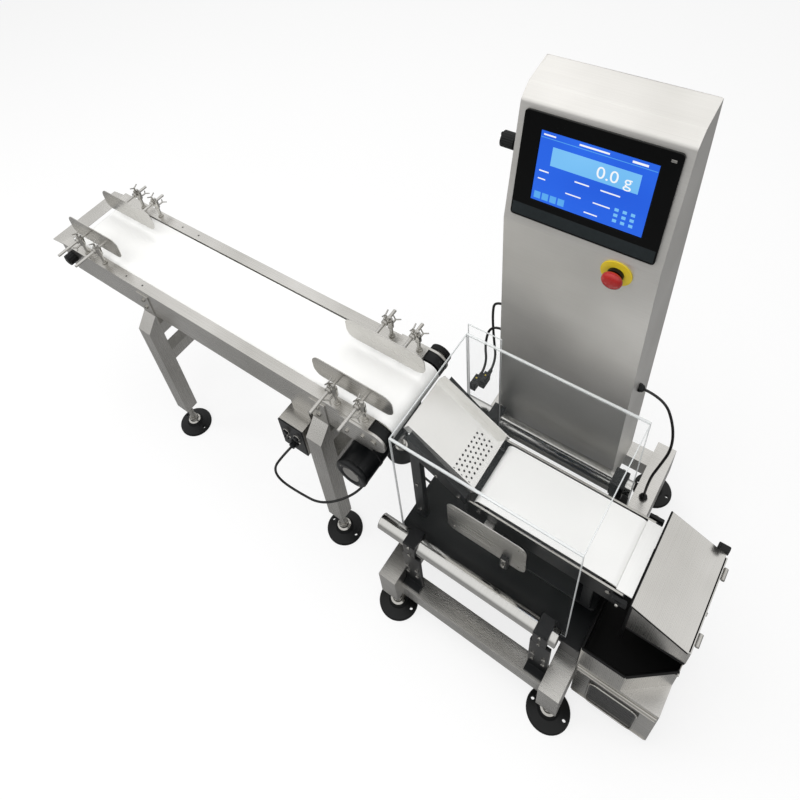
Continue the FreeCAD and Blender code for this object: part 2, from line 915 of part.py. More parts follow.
# Levelling feet
foot_places = {
    "foot_infeed_tail_near": ("leg_tail_x", "infeed_front_y - leg_depth / 2", "leg_bottom"),
    "foot_infeed_tail_far": ("leg_tail_x", f"{infeed_back_y} + leg_depth / 2", "leg_bottom"),
    "foot_infeed_head_near": ("leg_head_x", "infeed_front_y - leg_depth / 2", "leg_bottom"),
    "foot_infeed_head_far": ("leg_head_x", f"{infeed_back_y} + leg_depth / 2", "leg_bottom"),
    "foot_front_left": ("0", "0", "member_bottom"),
    "foot_front_right": ("foot_spacing_x", "0", "member_bottom"),
    "foot_rear_left": ("0", "foot_spacing_y", "member_bottom"),
    "foot_rear_right": ("foot_spacing_x", "foot_spacing_y", "member_bottom"),
}
pads = []
stems = []
nuts = []


def hexagon(name, width, height, at):
    """A six-sided nut about a vertical axis."""
    obj = doc.addObject("Part::Prism", name)
    obj.Polygon = 6
    obj.setExpression("Circumradius", formula(f"{width} / 2 / 0.866"))
    obj.setExpression("Height", formula(height))
    return place(obj, at)


for name, (foot_x, foot_y, seat_z) in foot_places.items():
    pad = turned(
        name + "_cone",
        [
            ("0", "stem_sink - 6"),
            ("stem_radius + running_gap", "stem_sink - 6"),
            ("stem_radius + running_gap", "pad_height"),
            ("pad_neck_radius", "pad_height"),
            ("pad_neck_radius + 4", "pad_height - 8"),
            ("pad_radius - 2", "8"),
            ("pad_radius", "5"),
            ("pad_radius", "0"),
            ("0", "0"),
        ],
        (foot_x, foot_y, "0"),
    )
    anchors = [
        cylinder(
            f"{name}_anchor{index}",
            "anchor_hole_radius",
            "pad_height",
            (f"{foot_x} {sign} anchor_hole_circle", foot_y, "-1"),
        )
        for index, sign in enumerate(("-", "+"))
    ]
    pads.append(cut(name, pad, anchors))
    stems.append(
        cylinder(
            name + "_stem",
            "stem_radius",
            f"{seat_z} + leg_wall - stem_sink + 6",
            (foot_x, foot_y, "stem_sink - 6"),
        )
    )
    nut = hexagon(name + "_nut", "nut_width", "nut_height", (foot_x, foot_y, f"{seat_z} - nut_height"))
    hole_at = (foot_x, foot_y, f"{seat_z} - nut_height - 1")
    hole = cylinder(name + "_nut_hole", "stem_radius", "nut_height + 2", hole_at)
    nuts.append(cut(name + "_lock", nut, [hole]))
keep("foot_pads", group("foot_pads", pads))
keep("foot_screws", group("foot_screws", stems + nuts))

# Infeed drive and control box
motor_hull = turned(
    "motor_hull",
    [
        ("0", "0"),
        ("motor_radius - 6", "0"),
        ("motor_radius", "6"),
        ("motor_radius", "motor_length"),
        ("0", "motor_length"),
    ],
    ("motor_x", "motor_front_y", "motor_z"),
)
motor_hull.Placement.Rotation = TURNS["y"]
gear_body = box(
    "gear_body",
    ("gearbox_side", "gearbox_length", "gearbox_side"),
    ("motor_x - gearbox_side / 2", "motor_front_y + motor_length", "motor_z - gearbox_side / 2"),
)
gear_nose = cylinder(
    "gear_nose",
    "18",
    "drive_y - 4 - (motor_front_y + motor_length + gearbox_length)",
    ("motor_x", "motor_front_y + motor_length + gearbox_length", "motor_z"),
    "y",
)
gear_bore = cylinder(
    "gear_bore",
    "shaft_radius + running_gap",
    "40",
    ("motor_x", "drive_y - 4 - 30", "motor_z"),
    "y",
)
gearbox = cut("infeed_gearbox", fuse("gear_blank", [gear_body, gear_nose]), [gear_bore])
keep("infeed_motor", group("infeed_motor", [motor_hull, gearbox]))
hanger = extrusion(
    "motor_hanger",
    "YZ",
    [
        ("motor_front_y + motor_length + gearbox_length - 6", "motor_z + gearbox_side / 2"),
        (f"{infeed_back_y} - 4", "motor_z + gearbox_side / 2"),
        (f"{infeed_back_y} - 4", rail_low),
        (f"{infeed_back_y} - rail_flange", rail_low),
        (f"{infeed_back_y} - rail_flange", "motor_z + gearbox_side / 2 + 4"),
        ("motor_front_y + motor_length + 6", "motor_z + gearbox_side / 2 + 4"),
        ("motor_front_y + motor_length + 6", "motor_z + gearbox_side / 2"),
    ],
    "motor_x - gearbox_side / 2 + 4",
    "gearbox_side - 8",
)
keep("infeed_end_plates", group("infeed_end_plates", head_plates + [hanger, tail_sheet]))
motor_pulley = cylinder(
    "motor_pulley_rim", "pulley_radius", "pulley_width", ("motor_x", "drive_y", "motor_z"), "y"
)
motor_shaft = cylinder(
    "motor_pulley_shaft", "shaft_radius", "30 + pulley_width", ("motor_x", "drive_y - 30", "motor_z"), "y"
)
keep("infeed_motor_pulley", fuse("infeed_motor_pulley", [motor_pulley, motor_shaft]))


def slant_belt(name):
    """The drive belt between the two pulleys, a loop on the slant."""
    rise = number(roller_z) - values["motor_z"]
    run = number(head_axis_x) - number("motor_x")
    length = math.hypot(run, rise)
    angle = math.degrees(math.atan2(rise, run))
    inner = values["pulley_radius"] + values["soft_gap"]
    outer = inner + values["drive_belt_thickness"]
    width = values["pulley_width"] - 2
    shapes = []
    for radius in (outer, inner):
        low = Part.makeCylinder(radius, width, FreeCAD.Vector(0, 0, 0), FreeCAD.Vector(0, 1, 0))
        high = Part.makeCylinder(radius, width, FreeCAD.Vector(length, 0, 0), FreeCAD.Vector(0, 1, 0))
        run_box = Part.makeBox(length, width, 2 * radius, FreeCAD.Vector(0, 0, -radius))
        shapes.append(low.fuse([high, run_box]).removeSplitter())
    obj = doc.addObject("Part::Feature", name)
    obj.Shape = shapes[0].cut(shapes[1])
    spot = FreeCAD.Vector(number("motor_x"), number("drive_y") + 1, values["motor_z"])
    obj.Placement = FreeCAD.Placement(spot, FreeCAD.Rotation(FreeCAD.Vector(0, 1, 0), -angle))
    return obj


keep("infeed_drive_belt", slant_belt("infeed_drive_belt"))

control_y = "(infeed_front_y - 36)"
control_shell = cut(
    "control_shell",
    box(
        "control_outer",
        ("control_box_length", "control_box_depth", "control_box_height"),
        ("control_box_x", control_y, "control_box_top - control_box_height"),
    ),
    [
        box(
            "control_inner",
            ("control_box_length - 4", "control_box_depth - 2", "control_box_height - 4"),
            ("control_box_x + 2", f"{control_y} - 0.1", "control_box_top - control_box_height + 2"),
        )
    ],
)
control_strap = box(
    "control_strap",
    ("control_box_length - 20", "rail_flange - 8", f"{rail_low} - control_box_top"),
    ("control_box_x + 10", "infeed_front_y + 4", "control_box_top"),
)
keep("control_box", fuse("control_box", [control_shell, control_strap]))
panel_holes = [
    (f"control_box_x + control_box_length / 2 {sign} 16", "control_box_top - 36", "7")
    for sign in ("-", "+")
]
panel = extrusion(
    "control_panel",
    "XZ",
    [
        ("control_box_x", "control_box_top - control_box_height"),
        ("control_box_x + control_box_length", "control_box_top - control_box_height"),
        ("control_box_x + control_box_length", "control_box_top"),
        ("control_box_x", "control_box_top"),
    ],
    f"{control_y} - control_panel_sheet",
    "control_panel_sheet",
    circles=panel_holes,
)
connectors = []
for index, (across, up, radius) in enumerate(panel_holes):
    connectors.append(cylinder(f"connector{index}", radius, "18", (across, f"{control_y} - 12", up), "y"))
plug = cylinder(
    "control_plug",
    "8",
    "12",
    (
        "control_box_x + control_box_length / 2",
        f"{control_y} - control_panel_sheet - 12",
        "control_box_top - 76",
    ),
    "y",
)
keep("control_panel", group("control_panel", [panel] + connectors + [plug]))

# Base frame of the weigher
member_top = "(member_bottom + member_height)"
member_parts = []
member_cores = []
for name, centre in (("left", "0"), ("right", "foot_spacing_x")):
    member_parts.append(
        box(
            f"member_{name}",
            ("member_width", "foot_spacing_y + 2 * member_overhang", "member_height"),
            (f"{centre} - member_width / 2", "-member_overhang", "member_bottom"),
        )
    )
    member_cores.append(
        box(
            f"member_core_{name}",
            (
                "member_width - 2 * member_wall",
                "foot_spacing_y + 2 * member_overhang - 2 * member_wall",
                "member_height - 2 * member_wall",
            ),
            (
                f"{centre} - member_width / 2 + member_wall",
                "-member_overhang + member_wall",
                "member_bottom + member_wall",
            ),
        )
    )
    for end, foot_y in (("front", "0"), ("rear", "foot_spacing_y")):
        bore_at = (centre, foot_y, "member_bottom - 1")
        member_cores.append(
            cylinder(f"member_bore_{name}_{end}", "stem_radius", "member_wall + 2", bore_at)
        )
rails = []
cross_rails = {
    "front": "front_rail_y",
    "middle": "middle_rail_y",
    "rear": "foot_spacing_y - member_width / 2",
}
for name, low_y in cross_rails.items():
    outer = box(
        f"rail_{name}_outer",
        ("foot_spacing_x - member_width", "member_width", "cross_rail_height"),
        ("member_width / 2", low_y, "member_bottom"),
    )
    inner = box(
        f"rail_{name}_inner",
        (
            "foot_spacing_x - member_width",
            "member_width - 2 * member_wall",
            "cross_rail_height - 2 * member_wall",
        ),
        ("member_width / 2", f"{low_y} + member_wall", "member_bottom + member_wall"),
    )
    rails.append(cut(f"rail_{name}", outer, [inner]))
members = cut("members", fuse("member_blanks", member_parts), member_cores)
keep("base_frame", fuse("base_frame", [members] + rails))

stand_spots = [
    (centre, spot)
    for centre in ("0", "foot_spacing_x")
    for spot in ("base_plate_front + 6", "base_plate_back - stand_side - 6")
]
stands = [
    box(
        f"stand{index}",
        ("stand_side", "stand_side", "stand_height"),
        (f"{centre} - stand_side / 2", spot, member_top),
    )
    for index, (centre, spot) in enumerate(stand_spots)
]
plate_low = f"({member_top} + stand_height)"
plate_top = f"({member_top} + stand_height + base_plate_sheet)"
base_plate = extrusion(
    "base_plate",
    "XY",
    [
        ("-stand_side / 2", "base_plate_front"),
        ("foot_spacing_x + stand_side / 2", "base_plate_front"),
        ("foot_spacing_x + stand_side / 2", "base_plate_back"),
        ("-stand_side / 2", "base_plate_back"),
    ],
    plate_low,
    "base_plate_sheet",
    rounds=[((0, 1, 2, 3), "8")],
)

tubes = []
tube_brackets = []
tube_clamps = []
tube_bolts = []
bracket_spots = {
    "left": "(member_width / 2 + 1)",
    "right": "(foot_spacing_x - member_width / 2 - 1 - bracket_width)",
}
for row, tube_y, face_y, foot_y, sign in (
    ("front", "tube_front_y", "(tube_front_y - tube_clamp_depth / 2)", "front_rail_y", -1),
    ("rear", "tube_rear_y", "(tube_rear_y + tube_clamp_depth / 2 - bracket_sheet)", "middle_rail_y", 1),
):
    bar_at = ("tube_start", tube_y, "tube_height")
    core_at = ("tube_start - 1", tube_y, "tube_height")
    bar = cylinder(f"tube_{row}_bar", "tube_radius", "tube_length", bar_at, "x")
    core = cylinder(f"tube_{row}_core", "tube_radius - tube_wall", "tube_length + 2", core_at, "x")
    tubes.append(cut(f"tube_{row}", bar, [core]))
    for side, spot in bracket_spots.items():
        name = f"{row}_{side}"
        upright = box(
            f"bracket_{name}_upright",
            (
                "bracket_width",
                "bracket_sheet",
                "tube_height - tube_clamp_height / 2 - (member_bottom + cross_rail_height)",
            ),
            (spot, face_y, "member_bottom + cross_rail_height"),
        )
        shoe_low = "front_rail_y + 6" if sign < 0 else "middle_rail_y + 4"
        shoe = box(
            f"bracket_{name}_shoe",
            ("bracket_width", f"{face_y} + bracket_sheet - ({shoe_low})", "bracket_sheet"),
            (spot, shoe_low, "member_bottom + cross_rail_height"),
        )
        tube_brackets.append(fuse(f"bracket_{name}", [upright, shoe]))
        clamp = box(
            f"tube_clamp_{name}_blank",
            ("tube_clamp_width", "tube_clamp_depth", "tube_clamp_height"),
            (f"{spot} + 4", f"{tube_y} - tube_clamp_depth / 2", "tube_height - tube_clamp_height / 2"),
        )
        hole = cylinder(
            f"tube_clamp_{name}_bore",
            "tube_radius",
            "tube_clamp_width + 2",
            (f"{spot} + 3", tube_y, "tube_height"),
            "x",
        )
        tube_clamps.append(cut(f"tube_clamp_{name}", clamp, [hole]))
        bolt_y = f"{face_y} - bolt_head" if sign < 0 else f"{face_y} + bracket_sheet"
        for index, (across, up) in enumerate(((10, 60), (34, 60), (10, 90), (34, 90))):
            tube_bolts.append(
                cylinder(
                    f"bracket_bolt_{name}{index}",
                    "4",
                    "bolt_head",
                    (f"{spot} + {across}", bolt_y, f"member_bottom + cross_rail_height + {up}"),
                    "y",
                )
            )
keep("cover_tubes", group("cover_tubes", tubes))
keep("tube_mounts", group("tube_mounts", tube_brackets + tube_clamps))
keep("frame_bolts", group("frame_bolts", head_bolts + leg_bolts + tube_bolts))

# Weigh cell and weigh conveyor
weigh_mid_x = "(weigh_start + weigh_length / 2)"
derive("weigh_near_y", "weigh_centre_y - weigh_belt_width / 2 - weigh_side_gap - weigh_rail_sheet")
derive("weigh_far_y", "weigh_centre_y + weigh_belt_width / 2 + weigh_side_gap")
cell_low = f"({plate_top} + load_cell_spacer)"
cell_blank = box(
    "cell_blank",
    ("load_cell_length", "load_cell_width", "load_cell_height"),
    (f"{weigh_mid_x} - load_cell_length / 2", "weigh_centre_y - load_cell_width / 2", cell_low),
)
cell_holes = [
    cylinder(
        f"cell_hole{index}",
        "load_cell_height * 0.36",
        "load_cell_width + 2",
        (
            f"{weigh_mid_x} {sign} 14",
            "weigh_centre_y - load_cell_width / 2 - 1",
            f"{cell_low} + load_cell_height / 2",
        ),
        "y",
    )
    for index, sign in enumerate(("-", "+"))
]
keep("load_cell", cut("load_cell", cell_blank, cell_holes))
platform_low = f"({cell_low} + load_cell_height + load_cell_spacer)"
spacers = [
    box(
        "cell_spacer_low",
        ("40", "load_cell_width", "load_cell_spacer"),
        (f"{weigh_mid_x} - load_cell_length / 2", "weigh_centre_y - load_cell_width / 2", plate_top),
    ),
    box(
        "cell_spacer_high",
        ("40", "load_cell_width", "load_cell_spacer"),
        (
            f"{weigh_mid_x} + load_cell_length / 2 - 40",
            "weigh_centre_y - load_cell_width / 2",
            f"{cell_low} + load_cell_height",
        ),
    ),
]
keep("base_plate", fuse("base_plate", [base_plate] + stands + spacers[:1]))
platform = extrusion(
    "weigh_platform",
    "XY",
    [
        ("weigh_start + 40", "weigh_near_y"),
        ("weigh_start + weigh_length - 30", "weigh_near_y"),
        ("weigh_start + weigh_length - 30", "weigh_far_y + weigh_rail_sheet"),
        ("weigh_start + 40", "weigh_far_y + weigh_rail_sheet"),
    ],
    platform_low,
    "platform_sheet",
    rounds=[((0, 1, 2, 3), "6")],
)
weigh_axis_z = "(weigh_top - weigh_belt_thickness - soft_gap - weigh_roller_radius)"
rail_bottom = "(weigh_top - 4 - weigh_rail_height)"
weigh_post_spots = [
    (spot, low_y)
    for spot in ("weigh_start + 50", "weigh_start + weigh_length - 60")
    for low_y in ("weigh_near_y", "weigh_far_y")
]
weigh_posts = []
for index, (spot, low_y) in enumerate(weigh_post_spots):
    weigh_posts.append(
        box(
            f"weigh_post{index}",
            ("20", "weigh_rail_sheet", f"{rail_bottom} - ({platform_low} + platform_sheet)"),
            (spot, low_y, f"{platform_low} + platform_sheet"),
        )
    )
keep("weigh_carrier", fuse("weigh_carrier", [platform, spacers[1]] + weigh_posts))
weigh_rails = []
for name, low_y in (("weigh_rail_near", "weigh_near_y"), ("weigh_rail_far", "weigh_far_y")):
    rail = extrusion(
        name,
        "XZ",
        [
            ("weigh_start - 12", rail_bottom),
            ("weigh_start + weigh_length + 12", rail_bottom),
            ("weigh_start + weigh_length + 12", "weigh_top - 4"),
            ("weigh_start - 12", "weigh_top - 4"),
        ],
        low_y,
        "weigh_rail_sheet",
        circles=[
            (spot, weigh_axis_z, "weigh_shaft_radius + running_gap")
            for spot in (
                "weigh_start + weigh_roller_radius",
                "weigh_start + weigh_length - weigh_roller_radius",
            )
        ],
        rounds=[((0, 1), "10")],
    )
    weigh_rails.append(rail)
for name, spot in (
    ("weigh_idle_roller", "weigh_start + weigh_roller_radius"),
    ("weigh_drive_roller", "weigh_start + weigh_length - weigh_roller_radius"),
):
    roller(
        name,
        spot,
        weigh_axis_z,
        "weigh_roller_radius",
        "weigh_belt_width",
        "weigh_centre_y - weigh_belt_width / 2",
        "weigh_shaft_radius",
        "weigh_near_y - 3",
        "weigh_belt_width + 2 * (weigh_side_gap + weigh_rail_sheet) + 6",
    )
keep(
    "weigh_belt",
    loop(
        "weigh_belt",
        "(weigh_start + weigh_roller_radius)",
        "(weigh_start + weigh_length - weigh_roller_radius)",
        weigh_axis_z,
        "(weigh_roller_radius + soft_gap)",
        "weigh_belt_thickness",
        "weigh_centre_y - weigh_belt_width / 2 + 1",
        "weigh_belt_width - 2",
    ),
)
weigh_bed = box(
    "weigh_bed",
    (
        "weigh_length - 4 * weigh_roller_radius - 10",
        "weigh_belt_width + 2 * weigh_side_gap",
        "3",
    ),
    (
        "weigh_start + 2 * weigh_roller_radius + 5",
        "weigh_centre_y - weigh_belt_width / 2 - weigh_side_gap",
        f"{weigh_axis_z} + weigh_roller_radius - 3",
    ),
)
keep("weigh_bed", group("weigh_bed", weigh_rails + [weigh_bed]))
weigh_motor = cylinder(
    "weigh_motor_can",
    "weigh_motor_radius",
    "weigh_motor_length",
    (
        "weigh_start + weigh_length - 90",
        "weigh_centre_y - weigh_motor_length / 2",
        f"{platform_low} + platform_sheet + weigh_motor_radius",
    ),
    "y",
)
keep("weigh_motor", weigh_motor)
end_brackets = []
for index, low_y in enumerate(("weigh_near_y - 4", "weigh_far_y + weigh_rail_sheet")):
    spot = ("weigh_start + weigh_length - 8", low_y, "weigh_top - 40")
    end_brackets.append(box(f"end_bracket{index}", ("28", "4", "30"), spot))
front_plate = extrusion(
    "weigh_front_plate",
    "XZ",
    [
        ("front_plate_start", "front_plate_top - front_plate_height"),
        ("front_plate_start + front_plate_length", "front_plate_top - front_plate_height"),
        ("front_plate_start + front_plate_length", "front_plate_top"),
        ("front_plate_start", "front_plate_top"),
    ],
    "front_plate_y",
    "2",
    rounds=[((0, 1, 2, 3), "front_plate_corner")],
)
front_arm = box(
    "front_arm",
    ("20", f"weigh_near_y - (front_plate_y + 2)", "16"),
    ("front_plate_start + 80", "front_plate_y + 2", "front_plate_top - 44"),
)
latch_body = box(
    "latch_body",
    ("16", "10", "40"),
    ("front_plate_start + 130", "front_plate_y - 10", "front_plate_top - front_plate_height - 8"),
)
keep("weigh_front_plate", fuse("weigh_front_plate", [front_plate, front_arm]))
keep("weigh_end_brackets", group("weigh_end_brackets", end_brackets + [latch_body]))

# Clear cover: a box without floor and ends
cover_outer = box(
    "cover_outer",
    ("cover_length", "cover_width", "cover_top - cover_bottom"),
    ("cover_x", "cover_front_y", "cover_bottom"),
)
cover_inner = box(
    "cover_inner",
    ("cover_length + 2", "cover_width - 2 * cover_sheet", "cover_top - cover_bottom - cover_sheet + 1"),
    ("cover_x - 1", "cover_front_y + cover_sheet", "cover_bottom - 1"),
)
keep("cover", cut("cover", cover_outer, [cover_inner]))

# Perforated slide between the two conveyors
slide_near = "(weigh_centre_y - slide_width / 2)"
slide_far = "(weigh_centre_y + slide_width / 2)"


def slide_sheet_shape():
    """The slide: a sloping floor with a fold at its end and two low walls, drilled in rows."""
    start_x = values["slide_start_x"]
    end_x = values["slide_end_x"]
    high = values["slide_high"]
    low = values["slide_low"]
    sheet_t = values["slide_sheet"]
    run = math.hypot(end_x - start_x, high - low)
    angle = math.degrees(math.atan2(high - low, end_x - start_x))
    width = values["slide_width"]
    wall = values["slide_wall"]
    floor = Part.makeBox(run, width, sheet_t)
    near = Part.makeBox(run, sheet_t, wall)
    far = Part.makeBox(run, sheet_t, wall, FreeCAD.Vector(0, width - sheet_t, 0))
    shape = floor.fuse([near, far]).removeSplitter()
    holes = []
    pitch = values["slide_hole_pitch"]
    radius = values["slide_hole_radius"]
    rows = 5
    columns = int((width - 4 * pitch / 2) / pitch)
    for row in range(rows):
        for column in range(columns):
            shift = pitch / 2 if row % 2 else 0
            spot = FreeCAD.Vector(run - 16 - row * pitch * 0.87, pitch + shift + column * pitch, -1)
            if spot.y < width - pitch:
                holes.append(Part.makeCylinder(radius, sheet_t + 2, spot))
    shape = shape.cut(holes)
    obj = doc.addObject("Part::Feature", "slide")
    obj.Shape = shape
    spot = FreeCAD.Vector(start_x, number(slide_near), high)
    obj.Placement = FreeCAD.Placement(spot, FreeCAD.Rotation(FreeCAD.Vector(0, 1, 0), angle))
    return obj


keep("slide", slide_sheet_shape())
slide_frames = []
for index, low_y in enumerate((f"{slide_near} - slide_post_side", slide_far)):
    slide_frames.append(
        extrusion(
            f"slide_frame{index}",
            "XZ",
            [
                ("slide_start_x + 20", plate_top),
                ("slide_start_x + 44", plate_top),
                ("slide_start_x + 44", "slide_high - 74"),
                ("slide_end_x - 4", "slide_low - 34"),
                ("slide_end_x - 4", "slide_low - 4"),
                ("slide_start_x + 20", "slide_high + 4"),
            ],
            low_y,
            "slide_post_side",
        )
    )
keep("slide_supports", group("slide_supports", slide_frames))

# Product sensors on the rear screen
screen_y = "(base_plate_back - 6)"
sensor_places = (("a", "-18", "426"), ("b", "6", "456"))
sensors = [
    box(f"sensor_{name}", ("14", "32", "26"), (spot, f"{screen_y} + 3", low))
    for name, spot, low in sensor_places
]
keep("sensors", group("sensors", sensors))
screen_plate = extrusion(
    "rear_screen",
    "XZ",
    [
        ("-18", f"{plate_top}"),
        ("64", f"{plate_top}"),
        ("64", "cover_top + 12"),
        ("-18", "cover_top + 12"),
    ],
    screen_y,
    "3",
    rounds=[((2, 3), "16")],
)
keep("rear_screen", screen_plate)

# Operator console
console_back_y = "(console_front_y + console_depth)"
slope_top_y = "(console_front_y + console_slope_run)"
slope_top_z = "(console_crease + console_slope_rise)"
console_outline = [
    ("console_front_y", "console_bottom"),
    (console_back_y, "console_bottom"),
    (console_back_y, "console_top"),
    (f"{slope_top_y} + 26", "console_top - 14"),
    (slope_top_y, slope_top_z),
    ("console_front_y", "console_crease"),
]
cabinet_rounds = [((3, 4), "14"), ((5,), "8")]
# The bent wrap of front, slope, top and bottom lies between two flat side panels
panel_width = "(console_width - 2 * console_sheet)"
wrap = extrusion(
    "cabinet_wrap",
    "YZ",
    console_outline,
    "console_x + console_sheet",
    panel_width,
    rounds=cabinet_rounds,
)
side_left = extrusion(
    "cabinet_left", "YZ", console_outline, "console_x", "console_sheet", rounds=cabinet_rounds
)
side_right = extrusion(
    "cabinet_right",
    "YZ",
    console_outline,
    "console_x + console_width - console_sheet",
    "console_sheet",
    rounds=cabinet_rounds,
)
inner_outline = [
    ("console_front_y + console_sheet", "console_bottom + console_sheet"),
    (f"{console_back_y} - console_sheet", "console_bottom + console_sheet"),
    (f"{console_back_y} - console_sheet", "console_top - console_sheet - 1"),
    (f"{slope_top_y} + 28", "console_top - 18"),
    (f"{slope_top_y} + console_sheet", f"{slope_top_z} - 3"),
    ("console_front_y + console_sheet", "console_crease"),
]
cabinet_hollow = extrusion(
    "cabinet_hollow",
    "YZ",
    inner_outline,
    "console_x + console_sheet - 1",
    f"{panel_width} + 2",
    rounds=[((3, 4), "11"), ((5,), "6")],
)
door_low = "(console_bottom + door_inset)"
door_high = "(console_top - door_inset - 10)"
door_hole = box(
    "door_hole",
    ("console_width - 2 * door_inset", "console_sheet + 2", f"{door_high} - {door_low}"),
    ("console_x + door_inset", f"{console_back_y} - console_sheet - 1", door_low),
)
rear_height = "(console_top - 18 - console_bottom - console_sheet)"
rear_at = ("console_x + console_sheet", f"{console_back_y} - console_sheet", "console_bottom + console_sheet")
rear_blank = box("cabinet_rear", (panel_width, "console_sheet", rear_height), rear_at)
rear_seat = box(
    "cabinet_rear_seat",
    (f"{panel_width} + 2", "console_sheet + 2", rear_height),
    ("console_x + console_sheet - 1", rear_at[1], rear_at[2]),
)
rear_frame = cut("cabinet_rear_frame", rear_blank, [door_hole])
estop_hole_at = ("estop_x", "console_front_y - 2", "estop_z")
estop_hole = cylinder("estop_hole", "11", "console_sheet + 4", estop_hole_at, "y")
knob_hole = cylinder("knob_hole", "8", "console_sheet + 4", ("console_x - 2", "knob_y", "knob_z"), "x")
wrap = cut("cabinet_wrap_open", wrap, [cabinet_hollow, rear_seat, estop_hole])
side_left = cut("cabinet_left_open", side_left, [knob_hole])
keep("console_cabinet", group("console_cabinet", [wrap, side_left, side_right, rear_frame]))
door = extrusion(
    "console_door",
    "XZ",
    [
        ("console_x + door_inset - 8", f"{door_low} - 8"),
        ("console_x + console_width - door_inset + 8", f"{door_low} - 8"),
        ("console_x + console_width - door_inset + 8", f"{door_high} + 8"),
        ("console_x + door_inset - 8", f"{door_high} + 8"),
    ],
    f"{console_back_y} + soft_gap",
    "door_sheet",
    circles=[("console_x + door_inset + 14", f"({door_low} + {door_high}) / 2", "9 + running_gap")],
    rounds=[((0, 1, 2, 3), "6")],
)
keep("console_door", door)
hinge_x = "(console_x + console_width - door_inset + 8 + 5 + soft_gap)"
door_pins = []
for index, up in enumerate(("console_bottom + 140", "console_top - 200")):
    door_pins.append(
        cylinder(f"door_hinge{index}", "5", "60", (hinge_x, f"{console_back_y} + 5 + soft_gap", up))
    )
lock_x = "console_x + door_inset + 14"
lock_z = f"({door_low} + {door_high}) / 2"
lock_turn = cylinder("lock_turn", "9", "door_sheet + 12", (lock_x, f"{console_back_y} - 6", lock_z), "y")
lock_face_y = f"{console_back_y} + soft_gap + door_sheet + 0.1"
lock_rim = cylinder("lock_rim", "13", "6", (lock_x, lock_face_y, lock_z), "y")
keep("door_lock", fuse("door_lock", [lock_turn, lock_rim]))

backplate = box(
    "console_mount_plate",
    ("console_width - 60", "2", "520"),
    ("console_x + 30", "console_front_y + console_sheet", "console_bottom + 100"),
)
unit_y = "console_front_y + console_sheet + 2"
power = box("power_supply", ("110", "40", "124"), ("console_x + 50", unit_y, "console_bottom + 140"))
drive_unit = box("motor_drive", ("72", "90", "150"), ("console_x + 180", unit_y, "console_bottom + 130"))
keep("console_electrics", group("console_electrics", [backplate, power, drive_unit]))

# Display on the sloped panel; its own frame starts at the crease
slope_angle = math.degrees(math.atan2(values["console_slope_run"], values["console_slope_rise"]))


def on_slope(obj, across, up, out):
    """Set an object on the sloped panel by its distance across, up and out of the panel."""
    lean = math.radians(slope_angle)
    spot = FreeCAD.Vector(
        number(across),
        values["console_front_y"] + number(up) * math.sin(lean) - number(out) * math.cos(lean),
        number("console_crease") + number(up) * math.cos(lean) + number(out) * math.sin(lean),
    )
    obj.Placement = FreeCAD.Placement(spot, FreeCAD.Rotation(FreeCAD.Vector(1, 0, 0), -slope_angle))
    return obj


def slope_plate(name, width, depth, height, radius, opening=None):
    """A plate with round corners for the sloped panel, drawn at the panel's own origin."""
    outline = [("0", "0"), (width, "0"), (width, height), ("0", height)]
    return extrusion(
        name,
        "XZ",
        outline,
        "0",
        depth,
        openings=[opening] if opening else [],
        rounds=[((0, 1, 2, 3), radius)] if radius else [],
    )


bezel_side = "((console_width - bezel_width) / 2)"
bezel = slope_plate(
    "display_bezel",
    "bezel_width",
    "bezel_sheet",
    "bezel_height",
    "7",
    [
        ("screen_side - 14", "screen_up - bezel_up"),
        ("screen_side - 14 + screen_width", "screen_up - bezel_up"),
        ("screen_side - 14 + screen_width", "screen_up - bezel_up + screen_height"),
        ("screen_side - 14", "screen_up - bezel_up + screen_height"),
    ],
)
keep("display_bezel", on_slope(bezel, f"console_x + {bezel_side}", "bezel_up", "bezel_sheet"))
glass = slope_plate("display_glass", "screen_width - 0.6", "4.3", "screen_height - 0.6", None)
keep(
    "display_glass",
    on_slope(glass, f"console_x + {bezel_side} + screen_side - 14 + 0.3", "screen_up + 0.3", "4.6"),
)

# Emergency stop and selector
estop_base = cut(
    "estop_base",
    cylinder("estop_base_disc", "estop_radius", "3", ("estop_x", "console_front_y - 3", "estop_z"), "y"),
    [cylinder("estop_base_bore", "11", "5", ("estop_x", "console_front_y - 4", "estop_z"), "y")],
)
keep("estop_ring", estop_base)
collar = cut(
    "estop_collar",
    fuse(
        "estop_collar_blank",
        [
            cylinder("estop_collar_disc", "15", "8", ("estop_x", "console_front_y - 11", "estop_z"), "y"),
            cylinder("estop_neck", "11 - soft_gap", "30", ("estop_x", "console_front_y - 3", "estop_z"), "y"),
        ],
    ),
    [cylinder("estop_collar_bore", "8", "60", ("estop_x", "console_front_y - 12", "estop_z"), "y")],
)
mushroom = turned(
    "estop_button",
    [
        ("0", "0"),
        ("estop_cap_radius - 6", "0"),
        ("estop_cap_radius - 1", "3"),
        ("estop_cap_radius", "7"),
        ("estop_cap_radius", "12"),
        ("8 - running_gap", "12"),
        ("8 - running_gap", "40"),
        ("0", "40"),
    ],
    ("estop_x", "console_front_y - 11 - estop_travel - 0.4 - 12", "estop_z"),
    "y",
)
keep("estop_button", mushroom)
selector_collar = cut(
    "selector_collar",
    cylinder("selector_collar_disc", "14", "6", ("console_x - 6", "knob_y", "knob_z"), "x"),
    [cylinder("selector_collar_bore", "6", "10", ("console_x - 8", "knob_y", "knob_z"), "x")],
)
keep("switch_collars", group("switch_collars", [collar, selector_collar]))
selector_low = "console_x - 6.3 - knob_length"
